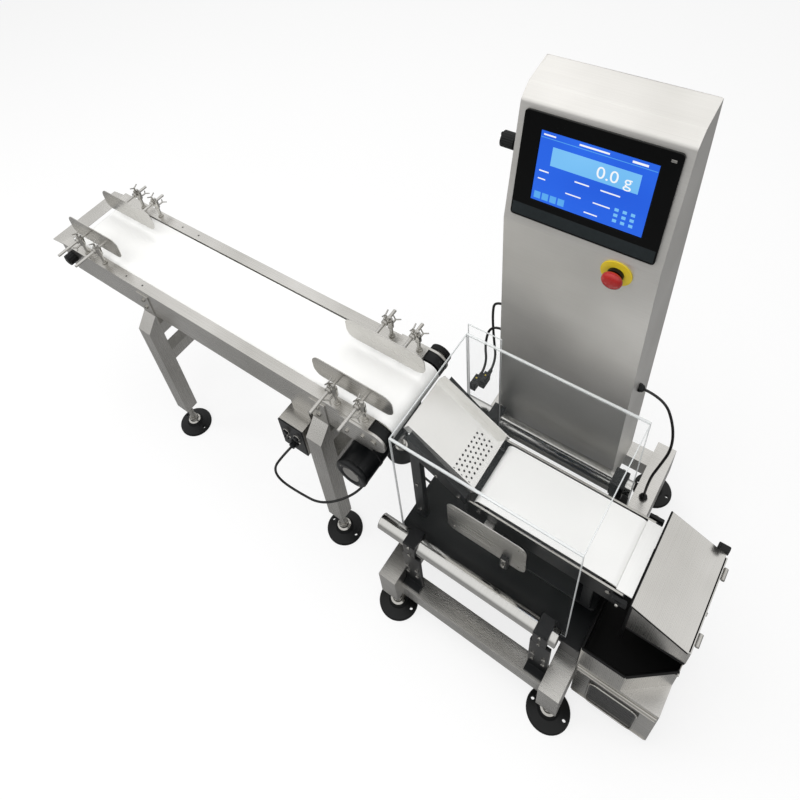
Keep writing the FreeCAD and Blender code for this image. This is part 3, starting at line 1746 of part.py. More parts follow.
selector = fuse(
    "selector_knob",
    [
        cylinder("selector_grip", "knob_radius", "knob_length", (selector_low, "knob_y", "knob_z"), "x"),
        cylinder("selector_spindle", "6 - running_gap", "20", ("console_x - 8", "knob_y", "knob_z"), "x"),
        box(
            "selector_mark",
            ("4", "6", "2 * knob_radius - 6"),
            (f"{selector_low} - 4", "knob_y - 3", "knob_z - knob_radius + 3"),
        ),
    ],
)
keep("selector_knob", selector)

# Collecting bin
bin_back_x = "(bin_x + bin_length)"
lower_outer = extrusion(
    "bin_lower_outer",
    "XY",
    [
        ("bin_x", "bin_front_y"),
        (bin_back_x, "bin_front_y"),
        (bin_back_x, "bin_back_y"),
        ("bin_x", "bin_back_y"),
    ],
    "bin_bottom",
    "bin_ledge - bin_bottom",
)
throat_outline = [
    ("bin_x", "bin_front_y"),
    ("bin_corner_x", "bin_front_y"),
    (bin_back_x, "bin_corner_y"),
    (bin_back_x, "bin_back_y"),
    ("bin_x", "bin_back_y"),
]
throat_outer = extrusion("bin_throat_outer", "XY", throat_outline, "bin_ledge", "bin_lip_low - bin_ledge")
hood_outer = extrusion(
    "bin_hood_outer",
    "XZ",
    [
        ("bin_hood_x", "bin_lip_low - 1"),
        (bin_back_x, "bin_lip_low - 1"),
        (bin_back_x, "bin_hood_low"),
        ("bin_hood_x", "bin_hood_top"),
    ],
    "bin_hood_front",
    "bin_back_y - bin_hood_front",
)
lower_inner = extrusion(
    "bin_lower_inner",
    "XY",
    [
        ("bin_x + bin_sheet", "bin_front_y + bin_sheet"),
        (f"{bin_back_x} - bin_sheet", "bin_front_y + bin_sheet"),
        (f"{bin_back_x} - bin_sheet", "bin_back_y - bin_sheet"),
        ("bin_x + bin_sheet", "bin_back_y - bin_sheet"),
    ],
    "bin_bottom + bin_sheet",
    "bin_ledge - bin_bottom - 2 * bin_sheet",
)
throat_inner = extrusion(
    "bin_throat_inner",
    "XY",
    [
        ("bin_x + bin_sheet", "bin_front_y + bin_sheet"),
        ("bin_corner_x - 1", "bin_front_y + bin_sheet"),
        (f"{bin_back_x} - bin_sheet", "bin_corner_y + 1"),
        (f"{bin_back_x} - bin_sheet", "bin_back_y - bin_sheet"),
        ("bin_x + bin_sheet", "bin_back_y - bin_sheet"),
    ],
    "bin_ledge - bin_sheet - 1",
    "bin_lip_low - bin_ledge + bin_sheet + 2",
)
hood_inner = extrusion(
    "bin_hood_inner",
    "XZ",
    [
        ("bin_hood_x + bin_sheet", "bin_lip_low - 20"),
        (f"{bin_back_x} - bin_sheet", "bin_lip_low - 20"),
        (f"{bin_back_x} - bin_sheet", "bin_hood_low + 20"),
        ("bin_hood_x + bin_sheet", "bin_hood_top + 20"),
    ],
    "bin_hood_front + bin_sheet",
    "bin_back_y - bin_hood_front - 2 * bin_sheet",
)
mouth = box(
    "bin_mouth",
    ("bin_length", "bin_hood_front - bin_front_y + 20", "bin_lip_high - bin_lip_low"),
    ("bin_hood_x - 4", "bin_front_y - 4", "bin_lip_low"),
)
drawer_hole = box(
    "bin_drawer_hole",
    ("bin_length - 16", "bin_sheet + 2", "drawer_height"),
    ("bin_x + 8", "bin_front_y - 1", "bin_bottom + 16"),
)
bin_body = cut(
    "bin_body",
    fuse("bin_blank", [lower_outer, throat_outer, hood_outer]),
    [lower_inner, throat_inner, hood_inner, mouth, drawer_hole],
)
keep("bin_body", bin_body)
lid_fall = values["bin_hood_top"] - values["bin_hood_low"]
lid_reach = number(bin_back_x) - number("bin_hood_x")
lid_lean = math.degrees(math.atan2(lid_fall, lid_reach))
lid_run = math.hypot(lid_fall, lid_reach)
lid = doc.addObject("Part::Box", "bin_lid")
lid.Length = lid_run - 6
lid.setExpression("Width", formula("bin_back_y - bin_hood_front + 6"))
lid.setExpression("Height", formula("lid_sheet"))
lift = values["soft_gap"]
lid.Placement = FreeCAD.Placement(
    FreeCAD.Vector(
        number("bin_hood_x") + lift * math.sin(math.radians(lid_lean)),
        values["bin_hood_front"] - 3,
        values["bin_hood_top"] + lift * math.cos(math.radians(lid_lean)),
    ),
    FreeCAD.Rotation(FreeCAD.Vector(0, 1, 0), lid_lean),
)
keep("bin_lid", lid)
hinge_bars = [
    cylinder(
        f"lid_hinge{index}",
        "4",
        "26",
        (f"{bin_back_x} + 4.2", spot, "bin_hood_low - 2"),
        "y",
    )
    for index, spot in enumerate(("bin_hood_front + 18", "bin_back_y - 46"))
]
keep("hinge_pins", group("hinge_pins", door_pins + hinge_bars))
drawer_parts = [
    box(
        "drawer_front",
        ("bin_length - 4", "3", "drawer_height + 8"),
        ("bin_x + 2", "bin_front_y - 3.3", "bin_bottom + 12"),
    ),
    box(
        "drawer_tray",
        ("bin_length - 20", "bin_back_y - bin_front_y - 20", "2"),
        ("bin_x + 10", "bin_front_y - 0.4", "bin_bottom + 18"),
    ),
    box(
        "drawer_side_low",
        ("2", "bin_back_y - bin_front_y - 20", "100"),
        ("bin_x + 10", "bin_front_y - 0.4", "bin_bottom + 18"),
    ),
    box(
        "drawer_side_high",
        ("2", "bin_back_y - bin_front_y - 20", "100"),
        (f"{bin_back_x} - 12", "bin_front_y - 0.4", "bin_bottom + 18"),
    ),
    box(
        "drawer_end",
        ("bin_length - 20", "2", "100"),
        ("bin_x + 10", "bin_back_y - 22.4", "bin_bottom + 18"),
    ),
]
window_x = "(bin_x + bin_length / 2 - window_width / 2)"
window_z = "(bin_bottom + 28)"
window_at = (window_x, "bin_front_y - 6", window_z)
window_cut = box("window_cut", ("window_width", "10", "window_height"), window_at)
keep("bin_drawer", cut("bin_drawer", fuse("drawer_blank", drawer_parts), [window_cut]))
window_pane = box(
    "bin_window",
    ("window_width + 12", "3", "window_height + 12"),
    (f"{window_x} - 6", "bin_front_y - 6.3", f"{window_z} - 6"),
)
keep("bin_window", window_pane)

# Glands and the leads between housings; each lead's route is chosen by hand
gland_places = {
    "gland_left_a": ("x", ("console_x - gland_length", "485", "575")),
    "gland_left_b": ("x", ("console_x - gland_length", "505", "640")),
    "gland_right": ("x", ("console_x + console_width", "500", "575")),
    "gland_frame": ("z", ("foot_spacing_x", "476", member_top)),
    "gland_gearbox": ("z", ("-100", "252", "motor_z - gearbox_side / 2 - gland_length")),
    "gland_member": ("x", ("-member_width / 2 - gland_length", "246", "150")),
}
glands = [
    cylinder(name, "gland_radius", "gland_length", spot, axis)
    for name, (axis, spot) in gland_places.items()
]
keep("cable_glands", group("cable_glands", glands))
leads = {
    "sensor_lead_a": [(-11, 421, 439), (-11, 461, 439), (-26, 476, 505), (-14, 485, 575), (20, 485, 575)],
    "sensor_lead_b": [
        (13, 421, 469),
        (13, 463, 469),
        (-8, 486, 530),
        (-22, 505, 590),
        (-16, 505, 640),
        (20, 505, 640),
    ],
    "console_lead": [
        (336, 500, 575),
        (380, 500, 575),
        (412, 490, 515),
        (424, 482, 440),
        (412, 478, 360),
        (400, 476, 285),
        (400, 476, 205),
    ],
    "motor_lead": [
        (-294, 38, 410),
        (-298, 4, 408),
        (-318, -14, 362),
        (-312, -12, 306),
        (-262, -2, 278),
        (-208, 10, 262),
        (-152, 60, 280),
        (-118, 100, 340),
        (-118, 100, 412),
    ],
    "link_lead": [
        (-100, 252, 404),
        (-100, 252, 362),
        (-92, 250, 308),
        (-80, 248, 252),
        (-76, 247, 198),
        (-80, 246, 150),
        (-32.5, 246, 150),
    ],
}
for name, route in leads.items():
    keep(name, lead(name, route, values["cable_radius"]))

doc.recompute()
failed = [obj.Name for obj in doc.Objects if "Invalid" in obj.State or "Error" in obj.State]
if failed:
    raise RuntimeError(f"these objects did not compute: {failed}")
os.makedirs("parts", exist_ok=True)
for label, obj in exported:
    shape = obj.Shape
    if shape.isNull() or not shape.isValid():
        raise RuntimeError(f"{label} has no valid shape")
    shape.exportStep(f"parts/{label}.step")
    bounds = shape.BoundBox
    print(
        f"{label}: {len(shape.Solids)} solids, x {bounds.XMin:.1f} {bounds.XMax:.1f},"
        f" y {bounds.YMin:.1f} {bounds.YMax:.1f}, z {bounds.ZMin:.1f} {bounds.ZMax:.1f}"
    )
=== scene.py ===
"""Looks of a checkweigher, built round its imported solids.

The frame is the part's own: X is the product flow, Y runs from the operator side to the
console and Z is up. Sizes are in millimetres and become metres when a piece is made.
"""

import logging
import math
from dataclasses import dataclass
from enum import Enum

import bmesh
import bpy
from mathutils import Matrix, Vector


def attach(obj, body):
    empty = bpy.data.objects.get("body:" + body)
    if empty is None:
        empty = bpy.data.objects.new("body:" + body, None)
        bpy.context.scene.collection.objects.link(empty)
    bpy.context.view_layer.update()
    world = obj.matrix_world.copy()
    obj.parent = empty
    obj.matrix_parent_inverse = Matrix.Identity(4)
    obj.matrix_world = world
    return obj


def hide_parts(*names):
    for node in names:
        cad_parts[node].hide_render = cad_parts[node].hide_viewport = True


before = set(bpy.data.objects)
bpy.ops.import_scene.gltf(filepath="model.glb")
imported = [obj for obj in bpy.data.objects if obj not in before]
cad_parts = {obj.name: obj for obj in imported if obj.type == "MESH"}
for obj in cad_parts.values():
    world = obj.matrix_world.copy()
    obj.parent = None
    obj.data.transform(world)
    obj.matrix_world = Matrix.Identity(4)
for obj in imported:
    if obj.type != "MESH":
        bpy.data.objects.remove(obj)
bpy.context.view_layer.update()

LOG = logging.getLogger("checkweigher")
MM = 0.001
Point = tuple[float, float, float]


class Body(str, Enum):
    """The rigid bodies of the machine that pieces ride on."""

    MACHINE = "machine"
    COVER = "clear_cover"
    STOP = "stop_button"
    SELECTOR = "selector"
    LID = "outlet_lid"
    DRAWER = "collecting_drawer"
    TAIL_ROLL = "infeed_tail_roll"


class Grain(Enum):
    """Which way the marks of a finish run; the value is their stretch along X, Y and Z."""

    ALONG_X = (240.0, 1.0, 1.0)
    ALONG_Y = (1.0, 240.0, 1.0)
    ALONG_Z = (1.0, 1.0, 240.0)
    AROUND_X = (1.0, 50.0, 50.0)
    AROUND_Y = (50.0, 1.0, 50.0)
    EVEN = (1.0, 1.0, 1.0)


def linear(colour: str) -> tuple[float, float, float, float]:
    """Turn an sRGB hex colour into the linear colour that shaders take.

    Args:
        colour: six hex digits with a leading hash.

    Returns:
        Red, green, blue and an alpha of one.
    """
    parts = [int(colour[place : place + 2], 16) / 255 for place in (1, 3, 5)]
    red, green, blue = (
        part / 12.92 if part <= 0.04045 else ((part + 0.055) / 1.055) ** 2.4 for part in parts
    )
    return red, green, blue, 1.0


def add_node(
    tree: bpy.types.NodeTree, kind: str, inputs: dict | None = None, **settings: object
) -> bpy.types.Node:
    """Add one shader node with its settings, and set or link its inputs.

    Args:
        tree: the node tree that takes the node.
        kind: the node's type.
        inputs: values or output sockets by the name or number of the input.
        settings: properties of the node itself.

    Returns:
        The new node.
    """
    node = tree.nodes.new(kind)
    for name, value in settings.items():
        setattr(node, name, value)
    for key, value in (inputs or {}).items():
        if isinstance(value, bpy.types.NodeSocket):
            tree.links.new(value, node.inputs[key])
        else:
            node.inputs[key].default_value = value
    return node


@dataclass(frozen=True)
class Finish:
    """A surface with two close tones, fine marks of a real spacing and a broad drift."""

    name: str
    colour: str
    shade: str
    roughness: float
    grain: Grain = Grain.EVEN
    pitch_mm: float = 1.0
    depth_mm: float = 0.02
    drift_mm: float = 180.0
    metallic: float = 0.0
    coat: float = 0.0
    specular: float = 0.5
    spread: float = 0.1

    def coordinates(self, tree: bpy.types.NodeTree, pitch: float, grain: Grain) -> bpy.types.NodeSocket:
        """Scale the object's own coordinates so that one unit is one mark.

        Args:
            tree: the material's node tree.
            pitch: spacing of the marks in millimetres.
            grain: the way the marks are stretched.

        Returns:
            The socket with the scaled coordinates.
        """
        place = add_node(tree, "ShaderNodeTexCoord").outputs["Object"]
        scale = [1 / (MM * pitch * stretch) for stretch in grain.value]
        return add_node(tree, "ShaderNodeMapping", {"Vector": place, "Scale": scale}).outputs[0]

    def marks(self, tree: bpy.types.NodeTree) -> bpy.types.NodeSocket:
        """Give the fine marks that the making left, as a height from 0 to 1."""
        spot = self.coordinates(tree, self.pitch_mm, self.grain)
        return add_node(
            tree, "ShaderNodeTexNoise", {"Vector": spot, "Scale": 1.0, "Detail": 3.0, "Roughness": 0.6}
        ).outputs["Fac"]

    def material(self) -> bpy.types.Material:
        """Build the material once and hand out the same one after that."""
        known = bpy.data.materials.get(self.name)
        if known:
            return known
        made = bpy.data.materials.new(self.name)
        made.use_nodes = True
        tree = made.node_tree
        tree.nodes.clear()
        marks = self.marks(tree)
        broad = add_node(
            tree,
            "ShaderNodeTexNoise",
            {"Vector": self.coordinates(tree, self.drift_mm, Grain.EVEN), "Scale": 1.0, "Detail": 2.0},
        ).outputs["Fac"]
        blend = add_node(
            tree, "ShaderNodeMath", {0: marks, 1: 0.4, 2: 0.0}, operation="MULTIPLY_ADD"
        )
        tree.links.new(broad, blend.inputs[2])
        tone = add_node(
            tree,
            "ShaderNodeMapRange",
            {"Value": blend.outputs[0], "From Min": 0.45, "From Max": 0.95, "To Min": 0.0, "To Max": 1.0},
        )
        colour = add_node(
            tree,
            "ShaderNodeMix",
            {0: tone.outputs[0], 6: linear(self.shade), 7: linear(self.colour)},
            data_type="RGBA",
        )
        rough = add_node(
            tree,
            "ShaderNodeMapRange",
            {
                "Value": marks,
                "From Min": 0.3,
                "From Max": 0.7,
                "To Min": self.roughness - self.spread / 2,
                "To Max": self.roughness + self.spread / 2,
            },
        )
        bump = add_node(
            tree,
            "ShaderNodeBump",
            {"Height": marks, "Distance": self.depth_mm * MM, "Strength": 1.0},
        )
        surface = add_node(
            tree,
            "ShaderNodeBsdfPrincipled",
            {
                "Base Color": colour.outputs[2],
                "Roughness": rough.outputs[0],
                "Normal": bump.outputs[0],
                "Metallic": self.metallic,
                "Coat Weight": self.coat,
                "Specular IOR Level": self.specular,
            },
        )
        add_node(tree, "ShaderNodeOutputMaterial", {"Surface": surface.outputs[0]})
        return made


@dataclass(frozen=True)
class WovenFinish(Finish):
    """A coated fabric whose threads cross at right angles."""

    def marks(self, tree: bpy.types.NodeTree) -> bpy.types.NodeSocket:
        """Cross two sets of threads, the spacing of one thread apart."""
        spot = self.coordinates(tree, self.pitch_mm, Grain.EVEN)
        threads = [
            add_node(
                tree,
                "ShaderNodeTexWave",
                {"Vector": spot, "Scale": 0.5, "Distortion": 0.6, "Detail": 1.0},
                bands_direction=way,
            ).outputs["Fac"]
            for way in ("X", "Y")
        ]
        return add_node(
            tree, "ShaderNodeMath", {0: threads[0], 1: threads[1]}, operation="MULTIPLY"
        ).outputs[0]


@dataclass(frozen=True)
class ClearFinish:
    """A clear sheet of which only a faint haze and its gloss are seen."""

    name: str
    colour: str
    roughness: float
    haze: float

    def material(self) -> bpy.types.Material:
        """Build the clear material, with its haze in faint wiping marks."""
        known = bpy.data.materials.get(self.name)
        if known:
            return known
        made = bpy.data.materials.new(self.name)
        made.use_nodes = True
        tree = made.node_tree
        tree.nodes.clear()
        place = add_node(tree, "ShaderNodeTexCoord").outputs["Object"]
        wiped = add_node(
            tree, "ShaderNodeTexNoise", {"Vector": place, "Scale": 9.0, "Detail": 4.0}
        ).outputs["Fac"]
        rough = add_node(
            tree,
            "ShaderNodeMapRange",
            {
                "Value": wiped,
                "From Min": 0.2,
                "From Max": 0.8,
                "To Min": self.roughness,
                "To Max": self.roughness * 2,
            },
        ).outputs[0]
        surface = add_node(
            tree,
            "ShaderNodeBsdfPrincipled",
            {
                "Base Color": linear(self.colour),
                "Roughness": rough,
                "Alpha": self.haze,
                "IOR": 1.58,
                "Specular IOR Level": 0.9,
            },
        )
        add_node(tree, "ShaderNodeOutputMaterial", {"Surface": surface.outputs[0]})
        return made


@dataclass(frozen=True)
class LitFinish:
    """A lit area of a liquid crystal display under glossy glass."""

    name: str
    colour: str
    shade: str
    drift_mm: float = 90.0

    def material(self) -> bpy.types.Material:
        """Build a dark glossy surface that glows in its two tones."""
        known = bpy.data.materials.get(self.name)
        if known:
            return known
        made = bpy.data.materials.new(self.name)
        made.use_nodes = True
        tree = made.node_tree
        tree.nodes.clear()
        place = add_node(tree, "ShaderNodeTexCoord").outputs["Object"]
        broad = add_node(
            tree,
            "ShaderNodeTexNoise",
            {"Vector": place, "Scale": 1 / (self.drift_mm * MM), "Detail": 0.0},
        ).outputs["Fac"]
        glow = add_node(
            tree,
            "ShaderNodeMix",
            {0: broad, 6: linear(self.shade), 7: linear(self.colour)},
            data_type="RGBA",
        )
        surface = add_node(
            tree,
            "ShaderNodeBsdfPrincipled",
            {
                "Base Color": linear("#050608"),
                "Roughness": 0.35,
                "Emission Color": glow.outputs[2],
                "Emission Strength": 0.95,
                "Specular IOR Level": 0.25,
            },
        )
        add_node(tree, "ShaderNodeOutputMaterial", {"Surface": surface.outputs[0]})
        return made


# Stainless 1.4301 sheet, ground with grit 240: long fine scratches stretch every reflection.
# The real scratches are about 0.1 mm apart; they are drawn 1 mm apart so that they show.
SCRATCHES = {"pitch_mm": 1.0, "depth_mm": 0.002}
STEEL = {"colour": "#D6D4D0", "shade": "#BAB8B3", "roughness": 0.28, "metallic": 0.96, "spread": 0.06}
SHEET_X = Finish("stainless_sheet_ground_along_x", grain=Grain.ALONG_X, **SCRATCHES, **STEEL)
SHEET_Y = Finish("stainless_sheet_ground_along_y", grain=Grain.ALONG_Y, **SCRATCHES, **STEEL)
SHEET_Z = Finish("stainless_sheet_ground_along_z", grain=Grain.ALONG_Z, **SCRATCHES, **STEEL)
# The console's large sheet has the coarser grit 180 finish, with softer reflections. Its paler colour and
# lower metal share are painted light that brightens the sheet.
CONSOLE_SHEET_PAINTED_BRIGHT = Finish(
    "stainless_sheet_coarse_painted_bright",
    "#E6E4E0",
    "#D2D0CB",
    0.38,
    Grain.ALONG_X,
    metallic=0.7,
    spread=0.06,
    **SCRATCHES,
)
# The slide is ground finer than the rest so that products glide on it. Its paler colour and lower metal share
# are a painted highlight, standing in for the bright reflection on it.
SLIDE_SHEET_PAINTED_BRIGHT = Finish(
    "stainless_sheet_fine_painted_bright",
    "#F2F1EE",
    "#E3E2DE",
    0.24,
    Grain.ALONG_Y,
    metallic=0.8,
    spread=0.05,
    **SCRATCHES,
)
# Drawn stainless tube, polished round: bright bands run along it.
TUBE = Finish(
    "stainless_tube_polished",
    "#DAD9D6",
    "#C9C8C4",
    0.15,
    Grain.AROUND_X,
    1.6,
    0.01,
    metallic=1.0,
    spread=0.06,
)
# Turned stainless shafts and rollers: rings from the lathe, drawn 1.2 mm apart.
TURNED = Finish(
    "steel_turned", "#C3C1BC", "#8F8D88", 0.26, Grain.AROUND_Y, 1.2, 0.02, metallic=1.0, spread=0.12
)
# Nickel plated and polished screws and clamps: small, bright, slightly uneven.
PLATED = Finish("steel_nickel_plated", "#CFCDC8", "#9C9A95", 0.2, Grain.EVEN, 3.0, 0.02, metallic=1.0)
# Extruded aluminium, bead blasted and anodised: an even pale grey without direction.
ANODISED = Finish(
    "aluminium_blasted_anodised", "#A9AAA9", "#8E8F8E", 0.42, Grain.EVEN, 1.5, 0.02, metallic=1.0
)
# Aluminium plate anodised black: dark, with a soft sheen.
BLACK_ANODISED = Finish(
    "aluminium_anodised_black", "#111315", "#08090A", 0.36, Grain.EVEN, 2.0, 0.015, specular=0.4
)
# Polyester powder coat: orange peel about 3 mm across.
POWDER_BLACK = Finish(
    "powder_coat_black", "#101214", "#08090A", 0.34, Grain.EVEN, 3.2, 0.03, specular=0.35
)
# Glass-filled nylon, moulded: a fine spark-eroded grain kills the gloss.
NYLON = Finish("nylon_moulded_black", "#0E0F10", "#060707", 0.42, Grain.EVEN, 1.2, 0.03, specular=0.3)
NYLON_GREY = Finish("nylon_moulded_grey", "#8C8D8A", "#767773", 0.5, Grain.EVEN, 1.2, 0.04)
# Thermoplastic rubber lip and drive belt: matt, a little dusty.
RUBBER = Finish("rubber_black", "#0C0C0C", "#060606", 0.5, Grain.EVEN, 2.4, 0.04, specular=0.25)
# Acrylic lacquered polycarbonate front: deep gloss black.
GLOSS_BLACK = Finish(
    "front_film_gloss_black", "#070808", "#040404", 0.14, Grain.EVEN, 9.0, 0.003, specular=0.16
)
# The strip of touch keys under the display: the same film, printed dark grey.
KEY_STRIP = Finish("front_film_key_strip", "#2A3032", "#202527", 0.22, Grain.EVEN, 9.0, 0.003, specular=0.2)
# Acetal and polyamide switch parts: glossy moulded colour.
STOP_RED = Finish("acetal_moulded_red", "#C4201D", "#A81614", 0.24, Grain.EVEN, 5.0, 0.01, coat=0.35)
STOP_YELLOW = Finish("polyamide_disc_yellow", "#F2D93C", "#E5C92B", 0.4, Grain.EVEN, 4.0, 0.01)
# Cable jacket of flexible PVC.
JACKET = Finish("pvc_jacket_black", "#131313", "#0A0A0A", 0.42, Grain.EVEN, 4.0, 0.03)
# Polyurethane coat on polyester fabric, white for food: threads 1.2 mm apart, drawn 3 mm apart.
BELT = WovenFinish("belt_polyurethane_white", "#F8F8F6", "#F1F1EF", 0.55, pitch_mm=3.0, depth_mm=0.012)
# Polyethylene transfer plate, milled: dull white.
PLATE_WHITE = Finish("polyethylene_plate_white", "#F4F4F2", "#EAEAE8", 0.45, Grain.ALONG_Y, 2.0, 0.01)
# Clear polycarbonate sheet: almost unseen square on; its sawn edges carry a painted highlight, pale where
# they catch the light.
CLEAR = ClearFinish("polycarbonate_sheet_clear", "#AEB4B4", 0.03, 0.02)
CLEAR_EDGE_PAINTED_HIGHLIGHT = ClearFinish("polycarbonate_edge_painted_highlight", "#F4F7F7", 0.3, 0.6)
# Smoked acrylic window: the drawer behind it is only a dim shape.
WINDOW = ClearFinish("acrylic_window_smoke", "#30302E", 0.06, 0.42)
# Liquid crystal display behind glass: flat, evenly lit colours.
SCREEN_BLUE = LitFinish("display_field_blue", "#2C70F4", "#1C58DC")
SCREEN_PALE = LitFinish("display_panel_pale_blue", "#86CCFF", "#6DBBF4")
SCREEN_BAND = LitFinish("display_band_blue", "#63B4F8", "#4C9DEB")
SCREEN_WHITE = LitFinish("display_digits_white", "#FFFFFF", "#F4FAFF")

Dress = Finish | ClearFinish | LitFinish


def dress(node: str, finish: Dress, edge_mm: float = 0.0) -> None:
    """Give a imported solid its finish, with broken edges where its sheet or casting has them.

    Args:
        node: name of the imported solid.
        finish: the surface it gets.
        edge_mm: size of the broken edge; zero leaves the edges sharp.
    """
    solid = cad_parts[node]
    mesh = solid.data
    mesh.materials.clear()
    mesh.materials.append(finish.material())
    normals = mesh.attributes.get("custom_normal")
    if normals:
        mesh.attributes.remove(normals)
    mesh.polygons.foreach_set("use_smooth", [True] * len(mesh.polygons))
    weld = solid.modifiers.new("weld", "WELD")
    weld.merge_threshold = 0.00001
    merge = solid.modifiers.new("flat_faces", "DECIMATE")
    merge.decimate_type = "DISSOLVE"
    merge.angle_limit = math.radians(0.4)
    if edge_mm:
        broken = solid.modifiers.new("broken_edges", "BEVEL")
        broken.width = edge_mm * MM
        broken.segments = 2
        broken.limit_method = "ANGLE"
        broken.angle_limit = math.radians(40)
        broken.use_clamp_overlap = True
    split = solid.modifiers.new("hard_edges", "EDGE_SPLIT")
    split.split_angle = math.radians(47)
    solid.modifiers.new("face_normals", "WEIGHTED_NORMAL").keep_sharp = True
    LOG.info("dressed %s in %s", node, finish.name)


AXIS_TURN = {
    "x": Matrix.Rotation(math.radians(90), 3, "Y"),
    "y": Matrix.Rotation(math.radians(-90), 3, "X"),
    "z": Matrix.Identity(3),
}


class Shape:
    """A mesh in the making, in millimetres in the part's frame."""

    def __init__(self) -> None:
        """Start with an empty mesh."""
        self.mesh = bmesh.new()

    def block(self, low: Point, high: Point, edge: float = 0.8, turn: Matrix | None = None) -> "Shape":
        """Add a block with rounded edges.

        Args:
            low: its lowest corner.
            high: its highest corner.
            edge: radius of the edges.
            turn: a matrix that places the block, where it isn't square to the axes.

        Returns:
            The shape itself.
        """
        corners = bmesh.ops.create_cube(self.mesh, size=1.0)["verts"]
        middle = (Vector(low) + Vector(high)) / 2
        size = Vector(high) - Vector(low)
        for corner in corners:
            spot = Vector(part * width for part, width in zip(corner.co, size)) + middle
            corner.co = turn @ spot if turn else spot
        if edge:
            edges = list({side for corner in corners for side in corner.link_edges})
            bmesh.ops.bevel(self.mesh, geom=edges, offset=edge, segments=2, profile=0.5, affect="EDGES")
        return self

    def turned(
        self, profile: list[tuple[float, float]], centre: Point, axis: str = "z", steps: int = 40
    ) -> "Shape":
        """Turn a profile of radius and height about an axis through a point.

        Args:
            profile: radius and height of each ring, in order.
            centre: where height zero lies.
            axis: x, y or z.
            steps: number of sides.

        Returns:
            The shape itself.
        """
        turn = AXIS_TURN[axis]
        rings = []
        for radius, height in profile:
            count = 1 if radius < 0.001 else steps
            ring = []
            for step in range(count):
                angle = math.tau * step / count
                spot = Vector((radius * math.cos(angle), radius * math.sin(angle), height))
                ring.append(self.mesh.verts.new(turn @ spot + Vector(centre)))
            rings.append(ring)
        for low, high in zip(rings, rings[1:]):
            for step in range(steps):
                corners = [
                    low[step % len(low)],
                    low[(step + 1) % len(low)],
                    high[(step + 1) % len(high)],
                    high[step % len(high)],
                ]
                corners = list(dict.fromkeys(corners))
                if len(corners) > 2:
                    self.mesh.faces.new(corners)
        return self

    def bar(self, start: Point, end: Point, radius: float, steps: int = 14) -> "Shape":
        """Add a round bar with rounded ends between two points."""
        first = Vector(start)
        run = Vector(end) - first
        turn = run.to_track_quat("Z", "Y").to_matrix()
        reach = run.length
        cap = radius * 0.35
        low_end = [(0, 0), (radius - cap, 0), (radius, cap)]
        high_end = [(radius, reach - cap), (radius - cap, reach), (0, reach)]
        before = set(self.mesh.verts)
        self.turned(low_end + high_end, (0, 0, 0), "z", steps)
        for corner in set(self.mesh.verts) - before:
            corner.co = turn @ corner.co + first
        return self

    def prism(
        self, outline: list[tuple[float, float]], axis: str, low: float, high: float, edge: float = 0.0
    ) -> "Shape":
        """Push an outline along an axis.

        Args:
            outline: points in the plane square to the axis, in X, Y, Z order.
            axis: x, y or z.
            low: where it starts along the axis.
            high: where it ends along the axis.
            edge: radius of the edges.

        Returns:
            The shape itself.
        """
        order = {"x": (2, 0, 1), "y": (0, 2, 1), "z": (0, 1, 2)}[axis]
        ends = []
        for level in (low, high):
            ring = []
            for across, up in outline:
                values = (across, up, level)
                ring.append(self.mesh.verts.new([values[place] for place in order]))
            ends.append(ring)
        count = len(outline)
        faces = [self.mesh.faces.new(ends[0]), self.mesh.faces.new(ends[1])]
        for place in range(count):
            after = (place + 1) % count
            faces.append(
                self.mesh.faces.new((ends[0][place], ends[0][after], ends[1][after], ends[1][place]))
            )
        if edge:
            rims = list({side for face in faces[:2] for side in face.edges})
            bmesh.ops.bevel(self.mesh, geom=rims, offset=edge, segments=2, profile=0.5, affect="EDGES")
        return self

    def screw(self, at: Point, axis: str, radius: float, height: float, way: int = 1) -> "Shape":
        """Add a cap screw with its hexagon socket, standing on a face at a point."""
        socket = radius * 0.5
        self.turned(
            [
                (0, height * 0.45 * way),
                (socket, height * 0.45 * way),
                (socket, height * 0.98 * way),
                (radius - 0.5, height * way),
                (radius, (height - 0.5) * way),
                (radius, 0),
            ],
            at,
            axis,
            24,
        )
        return self

    def piece(
        self,
        name: str,
        finish: Dress,
        body: Body = Body.MACHINE,
        replaces: tuple[str, ...] = (),
    ) -> bpy.types.Object:
        """Turn the shape into a piece that rides on a body.

        Args:
            name: the piece's name.
            finish: its surface.
            body: what it rides on.
            replaces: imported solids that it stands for.

        Returns:
            The new object.
        """
        bmesh.ops.remove_doubles(self.mesh, verts=self.mesh.verts, dist=0.002)
        bmesh.ops.recalc_face_normals(self.mesh, faces=self.mesh.faces)
        bmesh.ops.scale(self.mesh, vec=(MM, MM, MM), verts=self.mesh.verts)
        mesh = bpy.data.meshes.new(name)
        self.mesh.to_mesh(mesh)
        self.mesh.free()
        mesh.polygons.foreach_set("use_smooth", [True] * len(mesh.polygons))
        mesh.set_sharp_from_angle(angle=math.radians(38))
        mesh.materials.append(finish.material())
        made = bpy.data.objects.new(name, mesh)
        bpy.context.scene.collection.objects.link(made)
        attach(made, body.value)
        if replaces:
            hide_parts(*replaces)
        LOG.info("made %s on %s", name, body.value)
        return made


